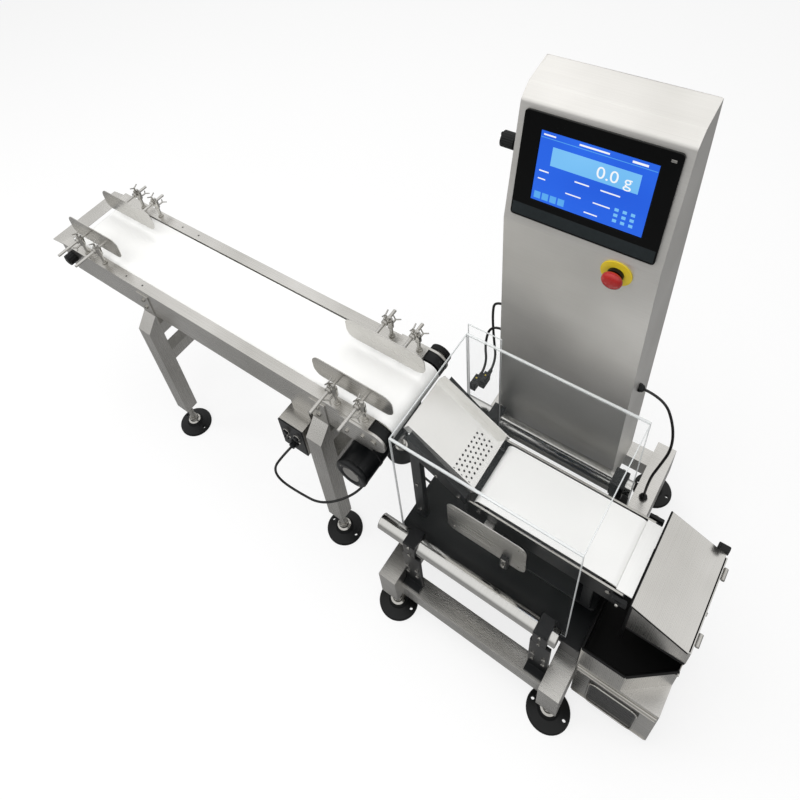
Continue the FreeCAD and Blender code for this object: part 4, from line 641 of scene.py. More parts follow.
@dataclass
class InfeedConveyor:
    """The belt conveyor that feeds the machine, with its rollers, plates and nose blocks."""

    near_y: float = 90.0
    far_y: float = 326.0
    head_x: float = -68.0
    tail_x: float = -1105.0
    axis_z: float = 581.7
    nose_radius: float = 29.0
    rail_end_x: float = -81.5
    block_depth: float = 25.0
    knob_radius: float = 17.0
    knob_groove: float = 1.3
    knob_ribs: int = 12
    belt_top: float = 610.02

    def build(self) -> None:
        """Dress the conveyor and add its trim."""
        dress("infeed_rails", SHEET_X, 0.6)
        dress("infeed_bed", SHEET_X)
        dress("infeed_belt", BELT)
        dress("infeed_drive_roller", TURNED, 0.5)
        dress("infeed_tail_roller", TURNED, 0.5)
        dress("infeed_end_plates", SHEET_X, 0.6)
        dress("infeed_drive_belt", RUBBER)
        dress("infeed_motor_pulley", ANODISED, 0.6)
        self.nose_blocks()
        self.tail_knob()
        self.belt_joint()

    def nose_blocks(self) -> None:
        """Make the black bearing blocks that round off both rails at the head."""
        outline = [(self.rail_end_x, self.axis_z - self.nose_radius)]
        for step in range(17):
            angle = math.radians(-90 + 180 * step / 16)
            outline.append(
                (
                    self.head_x + self.nose_radius * math.cos(angle),
                    self.axis_z + self.nose_radius * math.sin(angle),
                )
            )
        outline.append((self.rail_end_x, self.axis_z + self.nose_radius))
        shape = Shape()
        shape.prism(outline, "y", self.near_y + 0.4, self.near_y + self.block_depth, 1.2)
        shape.prism(outline, "y", self.far_y - self.block_depth, self.far_y - 0.4, 1.2)
        shape.piece("infeed_nose_blocks", NYLON)

    def tail_knob(self) -> None:
        """Make the ribbed hand knob on the tail shaft."""
        grips = []
        points = 6 * self.knob_ribs
        for step in range(points):
            angle = math.tau * step / points
            radius = self.knob_radius - (self.knob_groove if step % 6 in (0, 1) else 0.0)
            grips.append((self.tail_x + radius * math.cos(angle), self.axis_z + radius * math.sin(angle)))
        shape = Shape()
        shape.prism(grips, "y", 68.0, 89.4, 1.0)
        shape.turned([(0, -1.8), (10, -1.8), (12, 0), (12, 2)], (self.tail_x, 67.6, self.axis_z), "y")
        shape.piece(
            "tail_knob_ribbed", NYLON, Body.TAIL_ROLL, ("tail_knob",)
        )

    def belt_joint(self) -> None:
        """Lay the welded joint of the belt as a faint slanting line."""
        joint = [(-640, 121), (-637.6, 121), (-587.6, 295), (-590, 295)]
        shape = Shape()
        shape.prism(joint, "z", self.belt_top, self.belt_top + 0.12)
        shape.piece("infeed_belt_joint", BELT)


@dataclass
class SideGuides:
    """The four guide plates with the cross clamps, posts and wing screws that hold them."""

    rod_x: tuple[float, ...] = (-1052.0, -978.0, -184.0, -110.0)
    post_rows: tuple[float, ...] = (104.0, 312.0)
    rod_z: float = 662.0
    rail_top: float = 615.0
    post_shift: float = 11.0

    def build(self) -> None:
        """Dress the plates and make the hardware."""
        for node in ("guide_head_near", "guide_head_far", "guide_tail_near", "guide_tail_far"):
            dress(node, SHEET_X, 0.5)
        self.clamps()
        self.posts()
        self.wings()

    def places(self) -> list[tuple[float, float, int]]:
        """List each clamp's place along and across, and which way is outward."""
        return [(x, y, -1 if y < 200 else 1) for x in self.rod_x for y in self.post_rows]

    def clamps(self) -> None:
        """Make the cross clamps: one sleeve on the rod and one on the post."""
        rod_sleeve = [(4.2, -10), (7.5, -10), (8.2, -9), (8.2, 9), (7.5, 10), (4.2, 10), (4.2, -10)]
        post_sleeve = [(4.1, -13), (6.8, -13), (7.4, -12), (7.4, 12), (6.8, 13), (4.1, 13), (4.1, -13)]
        shape = Shape()
        for x, y, _ in self.places():
            post_x = x + self.post_shift
            shape.turned(rod_sleeve, (x, y, self.rod_z), "y", 24)
            shape.turned(post_sleeve, (post_x, y, self.rod_z), "z", 24)
            shape.block((x - 2, y - 5, self.rod_z - 6), (post_x, y + 5, self.rod_z + 6), 1.5)
            shape.block((x - 5, y - 5, self.rod_z + 4), (x + 5, y + 5, self.rod_z + 13), 1.2)
        shape.piece("guide_cross_clamps", PLATED, replaces=("guide_clamps",))

    def posts(self) -> None:
        """Make the posts, each with its nut and washer on the rail."""
        post = [(0, 0), (4.2, 0), (4.2, 67), (3.4, 68.5), (0, 68.5)]
        washer = [(4, 0.1), (8.4, 0.1), (8.4, 1.2), (4, 1.2)]
        nut = [(4, 1.2), (6.6, 1.2), (7.2, 1.8), (7.2, 5.2), (6.6, 5.8), (4, 5.8)]
        shape = Shape()
        for x, y, _ in self.places():
            foot = (x + self.post_shift, y, self.rail_top)
            for profile, sides in ((post, 20), (washer, 24), (nut, 6)):
                shape.turned(profile, foot, "z", sides)
        shape.piece("guide_posts", PLATED)

    def wings(self) -> None:
        """Make the wing screws: one on top and one on the outer side of each clamp."""
        shape = Shape()
        top = self.rod_z + 13
        low = self.rod_z - 9
        for x, y, way in self.places():
            shape.bar((x, y, top), (x, y, top + 11), 2.6)
            for side in (-1, 1):
                shape.bar((x, y, top + 9), (x, y + side * 12, top + 16), 1.7)
            post_x = x + self.post_shift
            outer = y + way * 8
            shape.bar((post_x, outer, low), (post_x, outer + way * 14, low), 2.2)
            for side in (-1, 1):
                tip = (post_x + side * 11, outer + way * 19, low)
                shape.bar((post_x, outer + way * 12, low), tip, 1.6)
        shape.piece("guide_wing_screws", PLATED)


@dataclass
class Trestles:
    """The two trestles of the infeed and the eight levelling feet."""

    feet: tuple[tuple[float, float, float], ...] = (
        (-806.0, 70.0, 105.0),
        (-806.0, 346.0, 105.0),
        (-222.0, 70.0, 105.0),
        (-222.0, 346.0, 105.0),
        (0.0, 0.0, 95.0),
        (400.0, 0.0, 95.0),
        (0.0, 610.0, 95.0),
        (400.0, 610.0, 95.0),
    )
    stem_radius: float = 8.0
    thread_pitch: float = 4.0
    thread_depth: float = 0.9

    def build(self) -> None:
        """Dress the trestles and make the feet's detail."""
        dress("infeed_legs", SHEET_Z, 0.8)
        dress("foot_pads", NYLON, 0.6)
        self.stems()
        self.cups()

    def stems(self) -> None:
        """Make the threaded stems with their lock nuts; the thread is drawn at twice its pitch."""
        lock_nut = [(8, 0), (12.6, 0), (13.8, 1.2), (13.8, 10.4), (12.6, 11.8), (8, 11.8)]
        shape = Shape()
        for x, y, seat in self.feet:
            profile = [(0, 14)]
            level = 15.0
            while level < seat - 14:
                profile.append((self.stem_radius, level))
                profile.append((self.stem_radius - self.thread_depth, level + self.thread_pitch / 2))
                level += self.thread_pitch
            profile += [(self.stem_radius, seat - 12), (self.stem_radius, seat + 2), (0, seat + 2)]
            shape.turned(profile, (x, y, 0), "z", 24)
            shape.turned(lock_nut, (x, y, seat - 12), "z", 6)
        shape.piece("foot_stems_threaded", PLATED, replaces=("foot_screws",))

    def cups(self) -> None:
        """Make the steel cup and the hexagon that turn in each pad."""
        cup = [(8.1, 21), (18, 21), (18, 23.5), (13.5, 26), (12, 33), (8.1, 34)]
        hexagon = [(8.1, 34), (12.6, 34), (13.2, 35), (13.2, 40), (12.4, 41), (8.1, 41)]
        shape = Shape()
        for x, y, _ in self.feet:
            shape.turned(cup, (x, y, 0), "z", 36)
            shape.turned(hexagon, (x, y, 0), "z", 6)
        shape.piece("foot_cups", PLATED)


@dataclass
class InfeedDrive:
    """The infeed's motor and gearbox, and the small control box beside it."""

    motor_x: float = -118.0
    motor_z: float = 452.0
    front_y: float = 46.0
    panel_y: float = 50.0
    toggles: tuple[float, ...] = (-314.0, -304.0, -284.0, -274.0)

    def build(self) -> None:
        """Dress the drive and add its caps and screws."""
        dress("infeed_motor", POWDER_BLACK, 1.2)
        dress("control_box", SHEET_X, 0.8)
        dress("control_panel", POWDER_BLACK, 0.6)
        self.motor_cap()
        self.gearbox_screws()
        self.panel_sockets()

    def motor_cap(self) -> None:
        """Make the motor's end ring with its four screws, and the bare plate on its end."""
        centre = (self.motor_x, self.front_y, self.motor_z)
        end_ring = [(25, 0.2), (29, -2.2), (35, -2.6), (39, -1.2), (40.6, 1), (40.8, 9), (40.0, 11)]
        middle_band = [(39.9, 58), (41.2, 59), (41.2, 66), (39.9, 67)]
        rear_band = [(39.9, 150), (42.5, 151), (42.5, 159), (39.9, 160)]
        ring = Shape()
        for profile in (end_ring, middle_band, rear_band):
            ring.turned(profile, centre, "y", 64)
        ring.piece("motor_rings", POWDER_BLACK)
        plate = Shape()
        plate.turned([(0, -0.7), (21.4, -0.7), (22, -0.2), (22, 0.2)], centre, "y", 56)
        plate.piece("motor_end_plate", PLATED)
        screws = Shape()
        across = 32 * math.cos(math.radians(45))
        for x, z in ((1, 1), (-1, 1), (-1, -1), (1, -1)):
            spot = (self.motor_x + x * across, self.front_y - 2.2, self.motor_z + z * across)
            screws.screw(spot, "y", 2.2, 1.8, -1)
        screws.piece("motor_screws", PLATED)

    def gearbox_screws(self) -> None:
        """Make the screws at the gearbox's corners."""
        shape = Shape()
        for x in (-31, 31):
            for z in (-31, 31):
                shape.screw((self.motor_x + x, 276, self.motor_z + z), "y", 4, 3.5)
        shape.piece("gearbox_screws", PLATED)

    def panel_sockets(self) -> None:
        """Make the socket rims, toggle switches and the lead's collar on the control panel."""
        socket = [(7.2, 0), (9.4, 0), (9.6, -2), (8.6, -3), (7.2, -3)]
        collar = [(0, -2.4), (2.6, -2.4), (3.2, -1.6), (3.2, 0)]
        rims = Shape()
        for x in (-310, -278):
            rims.turned(socket, (x, self.panel_y, 450), "y", 28)
        for x in self.toggles:
            rims.turned(collar, (x, self.panel_y, 428), "y", 20)
        rims.piece("control_socket_rims", PLATED)
        caps = Shape()
        for x in self.toggles:
            caps.bar((x, self.panel_y - 1, 428), (x, self.panel_y - 9, 432), 1.3, 12)
        caps.turned([(8.2, 0), (11, 0), (11, -3), (8.2, -4)], (-294, self.panel_y, 410), "y", 32)
        caps.piece("control_toggles", NYLON)


@dataclass
class BaseFrame:
    """The welded base frame, the tubes that carry the cover and all cap screws."""

    tube_rows: tuple[float, ...] = (42.0, 412.0)
    tube_z: float = 322.0
    bracket_x: tuple[float, ...] = (23.5, 332.5)
    bracket_faces: tuple[tuple[float, int], ...] = ((19.0, -1), (435.0, 1))

    def build(self) -> None:
        """Dress the frame and add its screws and caps."""
        dress("base_frame", SHEET_X, 1.2)
        dress("base_plate", BLACK_ANODISED, 0.8)
        dress("cover_tubes", TUBE, 0.4)
        dress("tube_mounts", POWDER_BLACK, 1.0)
        self.tube_caps()
        self.screws()
        self.clamp_screws()

    def tube_caps(self) -> None:
        """Close the tube ends with turned caps."""
        shape = Shape()
        for y in self.tube_rows:
            for x, way in ((-44.0, -1), (380.0, 1)):
                shape.turned(
                    [(18.9, -3 * way), (19.1, 0), (18, 0.9 * way), (6, 1.2 * way), (0, 0.7 * way)],
                    (x, y, self.tube_z),
                    "x",
                    48,
                )
        shape.piece("tube_end_caps", TUBE)

    def screws(self) -> None:
        """Make every cap screw of the machine's frame."""
        shape = Shape()
        for y, way in ((84.0, -1), (332.0, 1)):
            for x, z in ((-96.0, 581.7), (-140.0, 599.7), (-140.0, 563.7)):
                shape.screw((x, y, z), "y", 5, 4, way)
        for x in (-806.0, -222.0):
            for z in (551.0, 579.0):
                for y, way in ((87.0, -1), (329.0, 1)):
                    shape.screw((x, y, z), "y", 6, 4, way)
        for low in self.bracket_x:
            for across in (10.0, 34.0):
                for z in (205.0, 235.0):
                    for y, way in self.bracket_faces:
                        shape.screw((low + across, y, z), "y", 4, 4, way)
        shape.piece("frame_cap_screws", PLATED, replaces=("frame_bolts",))

    def clamp_screws(self) -> None:
        """Make the pinch screws under and over the tube in each clamp."""
        shape = Shape()
        for low in self.bracket_x:
            for y, way in self.bracket_faces:
                for rise in (-18, 18):
                    shape.screw((low + 19, y, self.tube_z + rise), "y", 3.6, 3.4, way)
        shape.piece("tube_clamp_screws", PLATED)


@dataclass
class WeighConveyor:
    """The short conveyor on the load cell, its front plate, latch and end brackets."""

    near_y: float = 124.0
    far_y: float = 292.0
    top: float = 485.0
    plate_front_y: float = 100.0

    def build(self) -> None:
        """Dress the weigh conveyor and add its small parts."""
        dress("load_cell", ANODISED, 0.8)
        dress("weigh_carrier", BLACK_ANODISED, 0.8)
        dress("weigh_bed", BLACK_ANODISED, 0.6)
        dress("weigh_belt", BELT)
        dress("weigh_idle_roller", TURNED, 0.4)
        dress("weigh_drive_roller", TURNED, 0.4)
        dress("weigh_motor", POWDER_BLACK, 1.0)
        dress("weigh_front_plate", SHEET_X, 0.5)
        dress("weigh_end_brackets", BLACK_ANODISED, 0.6)
        self.latch()
        self.side_strips()
        self.outlet_clips()
        self.outlet_plate()

    def latch(self) -> None:
        """Make the plated draw latch and the small screws on the front plate."""
        shape = Shape()
        shape.block((228, 88.4, 380), (238, 90.2, 398), 0.5)
        shape.bar((233, 88.5, 398), (233, 87, 376), 2.0)
        shape.bar((229, 87.5, 376), (237, 87.5, 376), 2.4)
        shape.turned([(0, -3), (2.6, -3), (3.2, -2.2), (3.2, 0)], (233, 90, 366), "y", 20)
        for x, z in ((112, 384), (262, 384), (112, 462), (262, 462)):
            shape.screw((x, self.plate_front_y, z), "y", 2.4, 1.4, -1)
        shape.piece("front_plate_latch", PLATED)

    def side_strips(self) -> None:
        """Make the bright wear strips along the top of both weigh rails."""
        shape = Shape()
        for y in (self.near_y, self.far_y - 6):
            shape.block((132, y + 0.8, self.top - 4), (456, y + 5.2, self.top - 2.6), 0.4)
        shape.piece("weigh_rail_strips", PLATED)

    def outlet_clips(self) -> None:
        """Make the black clips that lock the belt's bed at the outlet."""
        shape = Shape()
        for y in (112.0, 296.0):
            shape.block((440, y, 462), (468, y + 8, 482), 1.6)
            shape.block((446, y - 3, 468), (458, y + 11, 476), 1.4)
        shape.piece("weigh_outlet_clips", NYLON)
        pins = Shape()
        for y in (108.0, 308.0):
            pins.turned([(0, -2.5), (2.8, -2.5), (3.4, -1.6), (3.4, 0)], (452, y, 472), "y", 20)
        pins.piece("weigh_clip_pins", PLATED)

    def outlet_plate(self) -> None:
        """Make the white plate between the rails that bridges the step to the bin's lid."""
        shape = Shape()
        shape.block((441.5, self.near_y + 6, 482), (471, self.far_y - 6, self.top - 0.4), 0.5)
        shape.piece("weigh_outlet_plate", PLATE_WHITE)


@dataclass
class Cover:
    """The clear cover: two walls and a roof, with a painted highlight along their sawn edges."""

    low: Point = (-13.0, 72.0, 265.0)
    high: Point = (387.0, 374.0, 670.0)
    sheet: float = 5.0

    def build(self) -> None:
        """Make the clear sheets and their edges."""
        self.sheets()
        self.edges()

    def sheets(self) -> None:
        """Make the walls and the roof, set back from their edges."""
        x0, y0, z0 = self.low
        x1, y1, z1 = self.high
        thick = self.sheet
        shape = Shape()
        shape.block((x0 + 2, y0, z0 + 2), (x1 - 2, y0 + thick, z1 - thick), 0)
        shape.block((x0 + 2, y1 - thick, z0 + 2), (x1 - 2, y1, z1 - thick), 0)
        shape.block((x0 + 2, y0 + thick, z1 - thick), (x1 - 2, y1 - thick, z1), 0)
        shape.piece("cover_sheets", CLEAR, Body.COVER, ("cover",))

    def edges(self) -> None:
        """Make the pale edges all round the sheets: a painted highlight where they catch the light."""
        x0, y0, z0 = self.low
        x1, y1, z1 = self.high
        thick = self.sheet
        shape = Shape()
        for y in (y0, y1 - thick):
            shape.block((x0, y, z1 - thick), (x1, y + thick, z1), 0.5)
            shape.block((x0, y, z0), (x1, y + thick, z0 + 2), 0.3)
            for x in (x0, x1 - 2):
                shape.block((x, y, z0 + 2), (x + 2, y + thick, z1 - thick), 0.3)
        for x in (x0, x1 - 2):
            shape.block((x, y0 + thick, z1 - thick), (x + 2, y1 - thick, z1), 0.3)
        # Painted highlight: pale strips along the sheets' edges.
        shape.piece("cover_edges", CLEAR_EDGE_PAINTED_HIGHLIGHT, Body.COVER)


@dataclass
class SlideAndSensors:
    """The perforated slide, its side frames, the clear rear sheet and the two sensors."""

    sensor_spots: tuple[tuple[float, float], ...] = ((-11.0, 439.0), (13.0, 469.0))
    sensor_back_y: float = 421.0
    rear_low: Point = (-18.0, 386.0, 265.0)
    rear_high: Point = (64.0, 389.0, 682.0)
    rim: float = 1.5

    def build(self) -> None:
        """Dress the slide and the sensors and add lenses and lead boots."""
        # The slide's pale colour is a painted highlight.
        dress("slide", SLIDE_SHEET_PAINTED_BRIGHT)
        dress("slide_supports", BLACK_ANODISED, 0.8)
        dress("sensors", NYLON, 1.2)
        self.rear_sheet()
        self.boots()
        self.support_screws()

    def rear_sheet(self) -> None:
        """Make the narrow clear sheet between the slide and the console, with a painted highlight on its
        edges.
        """
        x0, y0, z0 = self.rear_low
        x1, y1, z1 = self.rear_high
        rim = self.rim
        sheet = Shape()
        sheet.block((x0 + rim, y0, z0), (x1 - rim, y1, z1 - rim), 0)
        sheet.piece("rear_sheet", CLEAR, Body.MACHINE, ("rear_screen",))
        edges = Shape()
        edges.block((x0, y0, z1 - rim), (x1, y1, z1), 0.3)
        for x in (x0, x1 - rim):
            edges.block((x, y0, z0), (x + rim, y1, z1 - rim), 0.3)
        # Painted highlight: pale strips along the rear sheet's edges.
        edges.piece("rear_sheet_edges", CLEAR_EDGE_PAINTED_HIGHLIGHT)

    def boots(self) -> None:
        """Make the tapered boots where the leads leave the sensors, and the sensors' lamps."""
        boot = [(6.4, 0), (6.4, 3), (5, 5), (4.2, 16), (3.2, 17), (3.2, 0)]
        shape = Shape()
        for x, z in self.sensor_spots:
            shape.turned(boot, (x, self.sensor_back_y, z), "y", 24)
        shape.piece("sensor_boots", RUBBER)
        lamps = Shape()
        for x, z in self.sensor_spots:
            lamps.turned([(0, 1.2), (1.6, 1.0), (2.2, 0)], (x, self.sensor_back_y - 11, z + 13), "z", 18)
        lamps.piece("sensor_lamps", STOP_YELLOW)

    def support_screws(self) -> None:
        """Make the screws on the outer faces of the slide's side frames."""
        shape = Shape()
        for y, way in ((121.0, -1), (295.0, 1)):
            for x, z in ((6.0, 300.0), (6.0, 420.0), (6.0, 560.0), (60.0, 520.0), (112.0, 484.0)):
                shape.screw((x, y, z), "y", 4.2, 3.4, way)
        shape.piece("slide_support_screws", PLATED)


@dataclass
class Console:
    """The operator console with its rear door, lock and switches, and all cable glands."""

    left_x: float = 30.0
    right_x: float = 326.0
    stop_centre: Point = (254.0, 416.6, 949.0)
    knob_centre: Point = (0.0, 500.0, 1122.0)
    flutes: int = 20

    def build(self) -> None:
        """Dress the console and make its switches and the glands' nuts."""
        # The console's pale colour is painted light that brightens the sheet.
        dress("console_cabinet", CONSOLE_SHEET_PAINTED_BRIGHT, 0.8)
        dress("console_door", SHEET_X, 0.8)
        dress("console_electrics", NYLON_GREY, 1.0)
        dress("door_lock", TURNED, 0.6)
        dress("hinge_pins", TURNED, 0.4)
        dress("cable_glands", NYLON, 0.6)
        dress("switch_collars", NYLON, 0.8)
        dress("estop_ring", STOP_YELLOW, 0.6)
        self.stop_cap()
        self.selector()
        self.gland_nuts()

    def stop_cap(self) -> None:
        """Make the domed red cap of the emergency stop with its stem."""
        dome = [(0, -1.2), (8, -0.9), (13, 0.3), (16.5, 2.2), (18.6, 4.8), (19, 7.5), (19, 10.5)]
        stem = [(18, 12), (7.9, 12), (7.9, 40), (0, 40)]
        shape = Shape()
        shape.turned(dome + stem, self.stop_centre, "y", 64)
        shape.piece("stop_cap_domed", STOP_RED, Body.STOP, ("estop_button",))

    def selector(self) -> None:
        """Make the fluted selector knob and its pointer."""
        _, y, z = self.knob_centre
        outline = []
        for step in range(self.flutes * 4):
            angle = math.tau * step / (self.flutes * 4)
            radius = 16.0 - (0.9 if step % 4 == 0 else 0.0)
            outline.append((y + radius * math.cos(angle), z + radius * math.sin(angle)))
        shape = Shape()
        shape.prism(outline, "x", -2.3, 23.7, 0.8)
        shape.turned([(0, 0), (5.9, 0), (5.9, 20), (0, 20)], (22, y, z), "x", 28)
        shape.block((-6.3, y - 3, z - 13), (-2.0, y + 3, z + 13), 1.0)
        shape.piece("selector_knob_fluted", NYLON, Body.SELECTOR, ("selector_knob",))
        mark = Shape()
        mark.block((-6.7, y - 0.8, z + 3), (-6.2, y + 0.8, z + 12), 0.2)
        mark.piece("selector_mark", BELT, Body.SELECTOR)

    def gland_nuts(self) -> None:
        """Make the hexagon nuts and domes of the cable glands."""
        shape = Shape()
        hexagon = [(3.4, 0), (9.2, 0), (10, 0.8), (10, 5.4), (9.2, 6.2), (3.4, 6.2)]
        dome = [(8.6, 6.2), (8.6, 8), (6, 11.5), (3.3, 12.5), (3.3, 6.2)]
        spots = (
            ((self.left_x, 485, 575), "x", -1),
            ((self.left_x, 505, 640), "x", -1),
            ((self.right_x, 500, 575), "x", 1),
            ((400, 476, 195), "z", 1),
            ((-100, 252, 414), "z", -1),
            ((-22.5, 246, 150), "x", -1),
        )
        for spot, axis, way in spots:
            shape.turned([(radius, way * height) for radius, height in hexagon], spot, axis, 6)
            shape.turned([(radius, way * height) for radius, height in dome], spot, axis, 28)
        shape.piece("gland_nuts", NYLON)


@dataclass
class Display:
    """The touch display on the sloped panel: black front, lit field, reading and keys."""

    crease: Point = (0.0, 446.0, 980.0)
    run: float = 52.0
    rise: float = 243.0
    bezel_x: float = 43.5
    screen_x: float = 77.5
    screen_width: float = 204.0
    screen_low: float = 64.0
    screen_height: float = 142.0
    glass_out: float = 4.72
    layer: float = 0.14

    def lean(self) -> Matrix:
        """Give the matrix from across, out and up on the panel to the part's frame."""
        angle = math.atan2(self.run, self.rise)
        return Matrix.Translation(self.crease) @ Matrix.Rotation(-angle, 4, "X")

    def patch(
        self, name: str, finish: Dress, spots: list[tuple[float, float, float, float]], out: float
    ) -> None:
        """Lay thin rectangles on the panel as one piece.

        Args:
            name: the piece's name.
            finish: its surface.
            spots: left, low, width and height of each rectangle, across and up the panel.
            out: how far it stands out of the panel.
        """
        shape = Shape()
        for left, low, width, height in spots:
            shape.block(
                (left, -out - 0.12, low), (left + width, -out, low + height), 0, turn=self.lean()
            )
        shape.piece(name, finish)

    def build(self) -> None:
        """Dress the display's front and lay out what it shows."""
        dress("display_bezel", GLOSS_BLACK, 0.8)
        dress("display_glass", GLOSS_BLACK)
        left, low = self.screen_x, self.screen_low
        wide, high = self.screen_width, self.screen_height
        front = self.glass_out + self.layer
        band = (left + 2, low + high - 14, wide - 4, 1.2)
        keys = [(left + 6 + 15 * step, low + 6, 12, 14) for step in range(4)]
        boxes = [(left + 150 + 14 * step, low + 12 + 11 * row, 7, 6) for step in range(3) for row in range(3)]
        bars = (
            (8, 62, 18, 2.6),
            (74, 62, 26, 2.6),
            (120, 62, 34, 2.6),
            (8, 46, 14, 2.4),
            (62, 34, 28, 2.4),
            (112, 34, 30, 2.4),
            (70, high - 9, 52, 3.2),
            (6, high - 9, 22, 2.8),
            (100, 10, 24, 2.4),
            (160, high - 10, 26, 4.0),
        )
        lines = [(left + across, low + up, width, height) for across, up, width, height in bars]
        self.patch("display_field", SCREEN_BLUE, [(left + 1, low + 1, wide - 2, high - 2)], self.glass_out)
        self.patch("display_panel", SCREEN_PALE, [(left + 26, low + 78, wide - 50, 37)], front)
        self.patch("display_head_band", SCREEN_BAND, [band], front)
        self.patch("display_keys", SCREEN_BAND, keys, front)
        self.patch("display_boxes", SCREEN_PALE, boxes, front)
        self.patch("display_bars", SCREEN_WHITE, lines, front)
        self.reading()
        self.trim()

    def reading(self) -> None:
        """Write the weight reading, a plain number."""
        text = bpy.data.curves.new("display_reading", "FONT")
        text.body = "0.0 g"
        text.size = 32 * MM
        text.extrude = 0.00005
        text.align_x = "RIGHT"
        made = bpy.data.objects.new("display_reading", text)
        bpy.context.scene.collection.objects.link(made)
        upright = Matrix.Rotation(math.radians(90), 4, "X")
        spot = Vector((self.screen_x + 168, -self.glass_out - 0.34, self.screen_low + 85))
        lean = self.lean()
        made.matrix_world = (
            Matrix.Translation((lean @ spot) * MM) @ lean.to_3x3().to_4x4() @ upright
        )
        made.data.materials.append(SCREEN_WHITE.material())
        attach(made, Body.MACHINE.value)

    def trim(self) -> None:
        """Lay the key strip under the screen and make the socket cap beside it."""
        self.patch("display_key_strip", KEY_STRIP, [(self.bezel_x + 3, 24, 263, 25)], 6.05)
        shape = Shape()
        shape.block((294, -7.0, 218), (303, -6.0, 223), 0.4, turn=self.lean())
        shape.piece("display_socket_cap", PLATED)


@dataclass
class CollectingBin:
    """The collecting bin with its lid, rubber lips, drawer and window."""

    left_x: float = 422.5
    right_x: float = 589.5
    front_y: float = 60.0
    back_y: float = 326.0
    lip_low: float = 302.0
    lip_high: float = 366.0
    hood_x: float = 474.0
    hood_front: float = 122.0
    corner_x: float = 510.5
    corner_y: float = 128.0

    def build(self) -> None:
        """Dress the bin and make its lips, the painted shade in its throat, rims and clips."""
        dress("bin_body", SHEET_Z, 0.6)
        dress("bin_lid", SHEET_Y, 0.5)
        dress("bin_drawer", SHEET_X, 0.6)
        dress("bin_window", WINDOW)
        self.lips()
        # Painted shade: a dark sheet lines the bin's throat.
        self.throat_shade()
        self.lid_seal()
        self.window_rim()
        self.clips()

    def lips(self) -> None:
        """Make the black rubber edgings of the inlet and of the hood's lower edge."""
        shape = Shape()
        left, right = self.left_x + 1, self.right_x - 1
        front, low = self.front_y + 1, self.lip_low
        hood_left, hood_front = self.hood_x + 1, self.hood_front + 1
        runs = [
            ((left, front, low), (self.corner_x, front, low)),
            ((self.corner_x, front, low), (right, self.corner_y, low)),
            ((hood_left, hood_front, self.lip_high), (right, hood_front, self.lip_high)),
            ((left, front, low), (left, self.back_y - 1, low)),
            ((hood_left, hood_front, low), (hood_left, hood_front, 470.0)),
        ]
        for start, end in runs:
            shape.bar(start, end, 3.2, 16)
        shape.piece("bin_rubber_lips", RUBBER)

    def throat_shade(self) -> None:
        """Make the dark sheet inside the throat: painted shade where the hollow of the bin falls dark."""
        shape = Shape()
        inside = [
            (self.left_x + 2.4, self.front_y + 2.4),
            (self.corner_x - 1.2, self.front_y + 2.4),
            (self.right_x - 2.4, self.corner_y + 1.2),
            (self.right_x - 2.4, self.back_y - 2.4),
            (self.left_x + 2.4, self.back_y - 2.4),
        ]
        count = len(inside)
        low, high = 214.0, 300.0
        for place in range(count):
            first, second = inside[place], inside[(place + 1) % count]
            spots = ((*first, low), (*second, low), (*second, high), (*first, high))
            shape.mesh.faces.new([shape.mesh.verts.new(spot) for spot in spots])
        shape.mesh.faces.new([shape.mesh.verts.new((x, y, low - 0.2)) for x, y in inside])
        shape.piece("bin_throat_painted_shade", RUBBER)

    def lid_seal(self) -> None:
        """Make the black seal along the lid's inlet and front edges."""
        lean = math.atan2(54.0, 115.5)
        turn = Matrix.Translation((self.hood_x, 0, 478.3)) @ Matrix.Rotation(lean, 4, "Y")
        seal = Shape()
        seal.block((-2.4, 119, -1.4), (0.4, 329, 2.6), 0.6, turn=turn)
        seal.block((0.4, 117.4, -1.2), (121, 119, 2.4), 0.5, turn=turn)
        seal.piece("lid_seal", RUBBER, Body.LID)

    def window_rim(self) -> None:
        """Make the bright rim round the drawer's window and the two ledge strips."""
        left, right, low, high = 456.0, 556.0, 54.0, 172.0
        y = 52.4
        corner = 14.0
        spots = []
        for centre_x, centre_z, start in (
            (right - corner, high - corner, 0),
            (left + corner, high - corner, 90),
            (left + corner, low + corner, 180),
            (right - corner, low + corner, 270),
        ):
            for step in range(5):
                angle = math.radians(start + 22.5 * step)
                spots.append((centre_x + corner * math.cos(angle), y, centre_z + corner * math.sin(angle)))
        shape = Shape()
        for place, spot in enumerate(spots):
            shape.bar(spot, spots[(place + 1) % len(spots)], 1.9, 12)
        shape.piece("window_rim", PLATED, Body.DRAWER)
        ledge = Shape()
        ledge.block((426, 54.5, 186), (586, 56.6, 190), 0.6)
        ledge.block((426, 54.5, 44), (586, 56.6, 47), 0.6)
        for x in (436.0, 576.0):
            ledge.screw((x, 56.6, 178.0), "y", 2.6, 1.6, -1)
        ledge.piece("drawer_ledges", SHEET_X, Body.DRAWER)

    def clips(self) -> None:
        """Make the black clip behind the lid and the small catches on the outlet side."""
        shape = Shape()
        shape.block((566, 329.4, 424), (588, 339, 448), 2.0)
        shape.block((570, 322, 444), (586, 336, 452), 2.0)
        shape.piece("lid_clip", NYLON)
        catches = Shape()
        for y, z in ((140.0, 250.0), (216.0, 396.0)):
            catches.turned([(0, 3.4), (3.6, 3.2), (4.2, 0)], (self.right_x, y, z), "x", 6)
        catches.piece("bin_catches", PLATED)


@dataclass(frozen=True)
class Lead:
    """One cable between two housings."""

    name: str
    route: tuple[Point, ...]
    length_m: float
    diameter_mm: float = 6.0


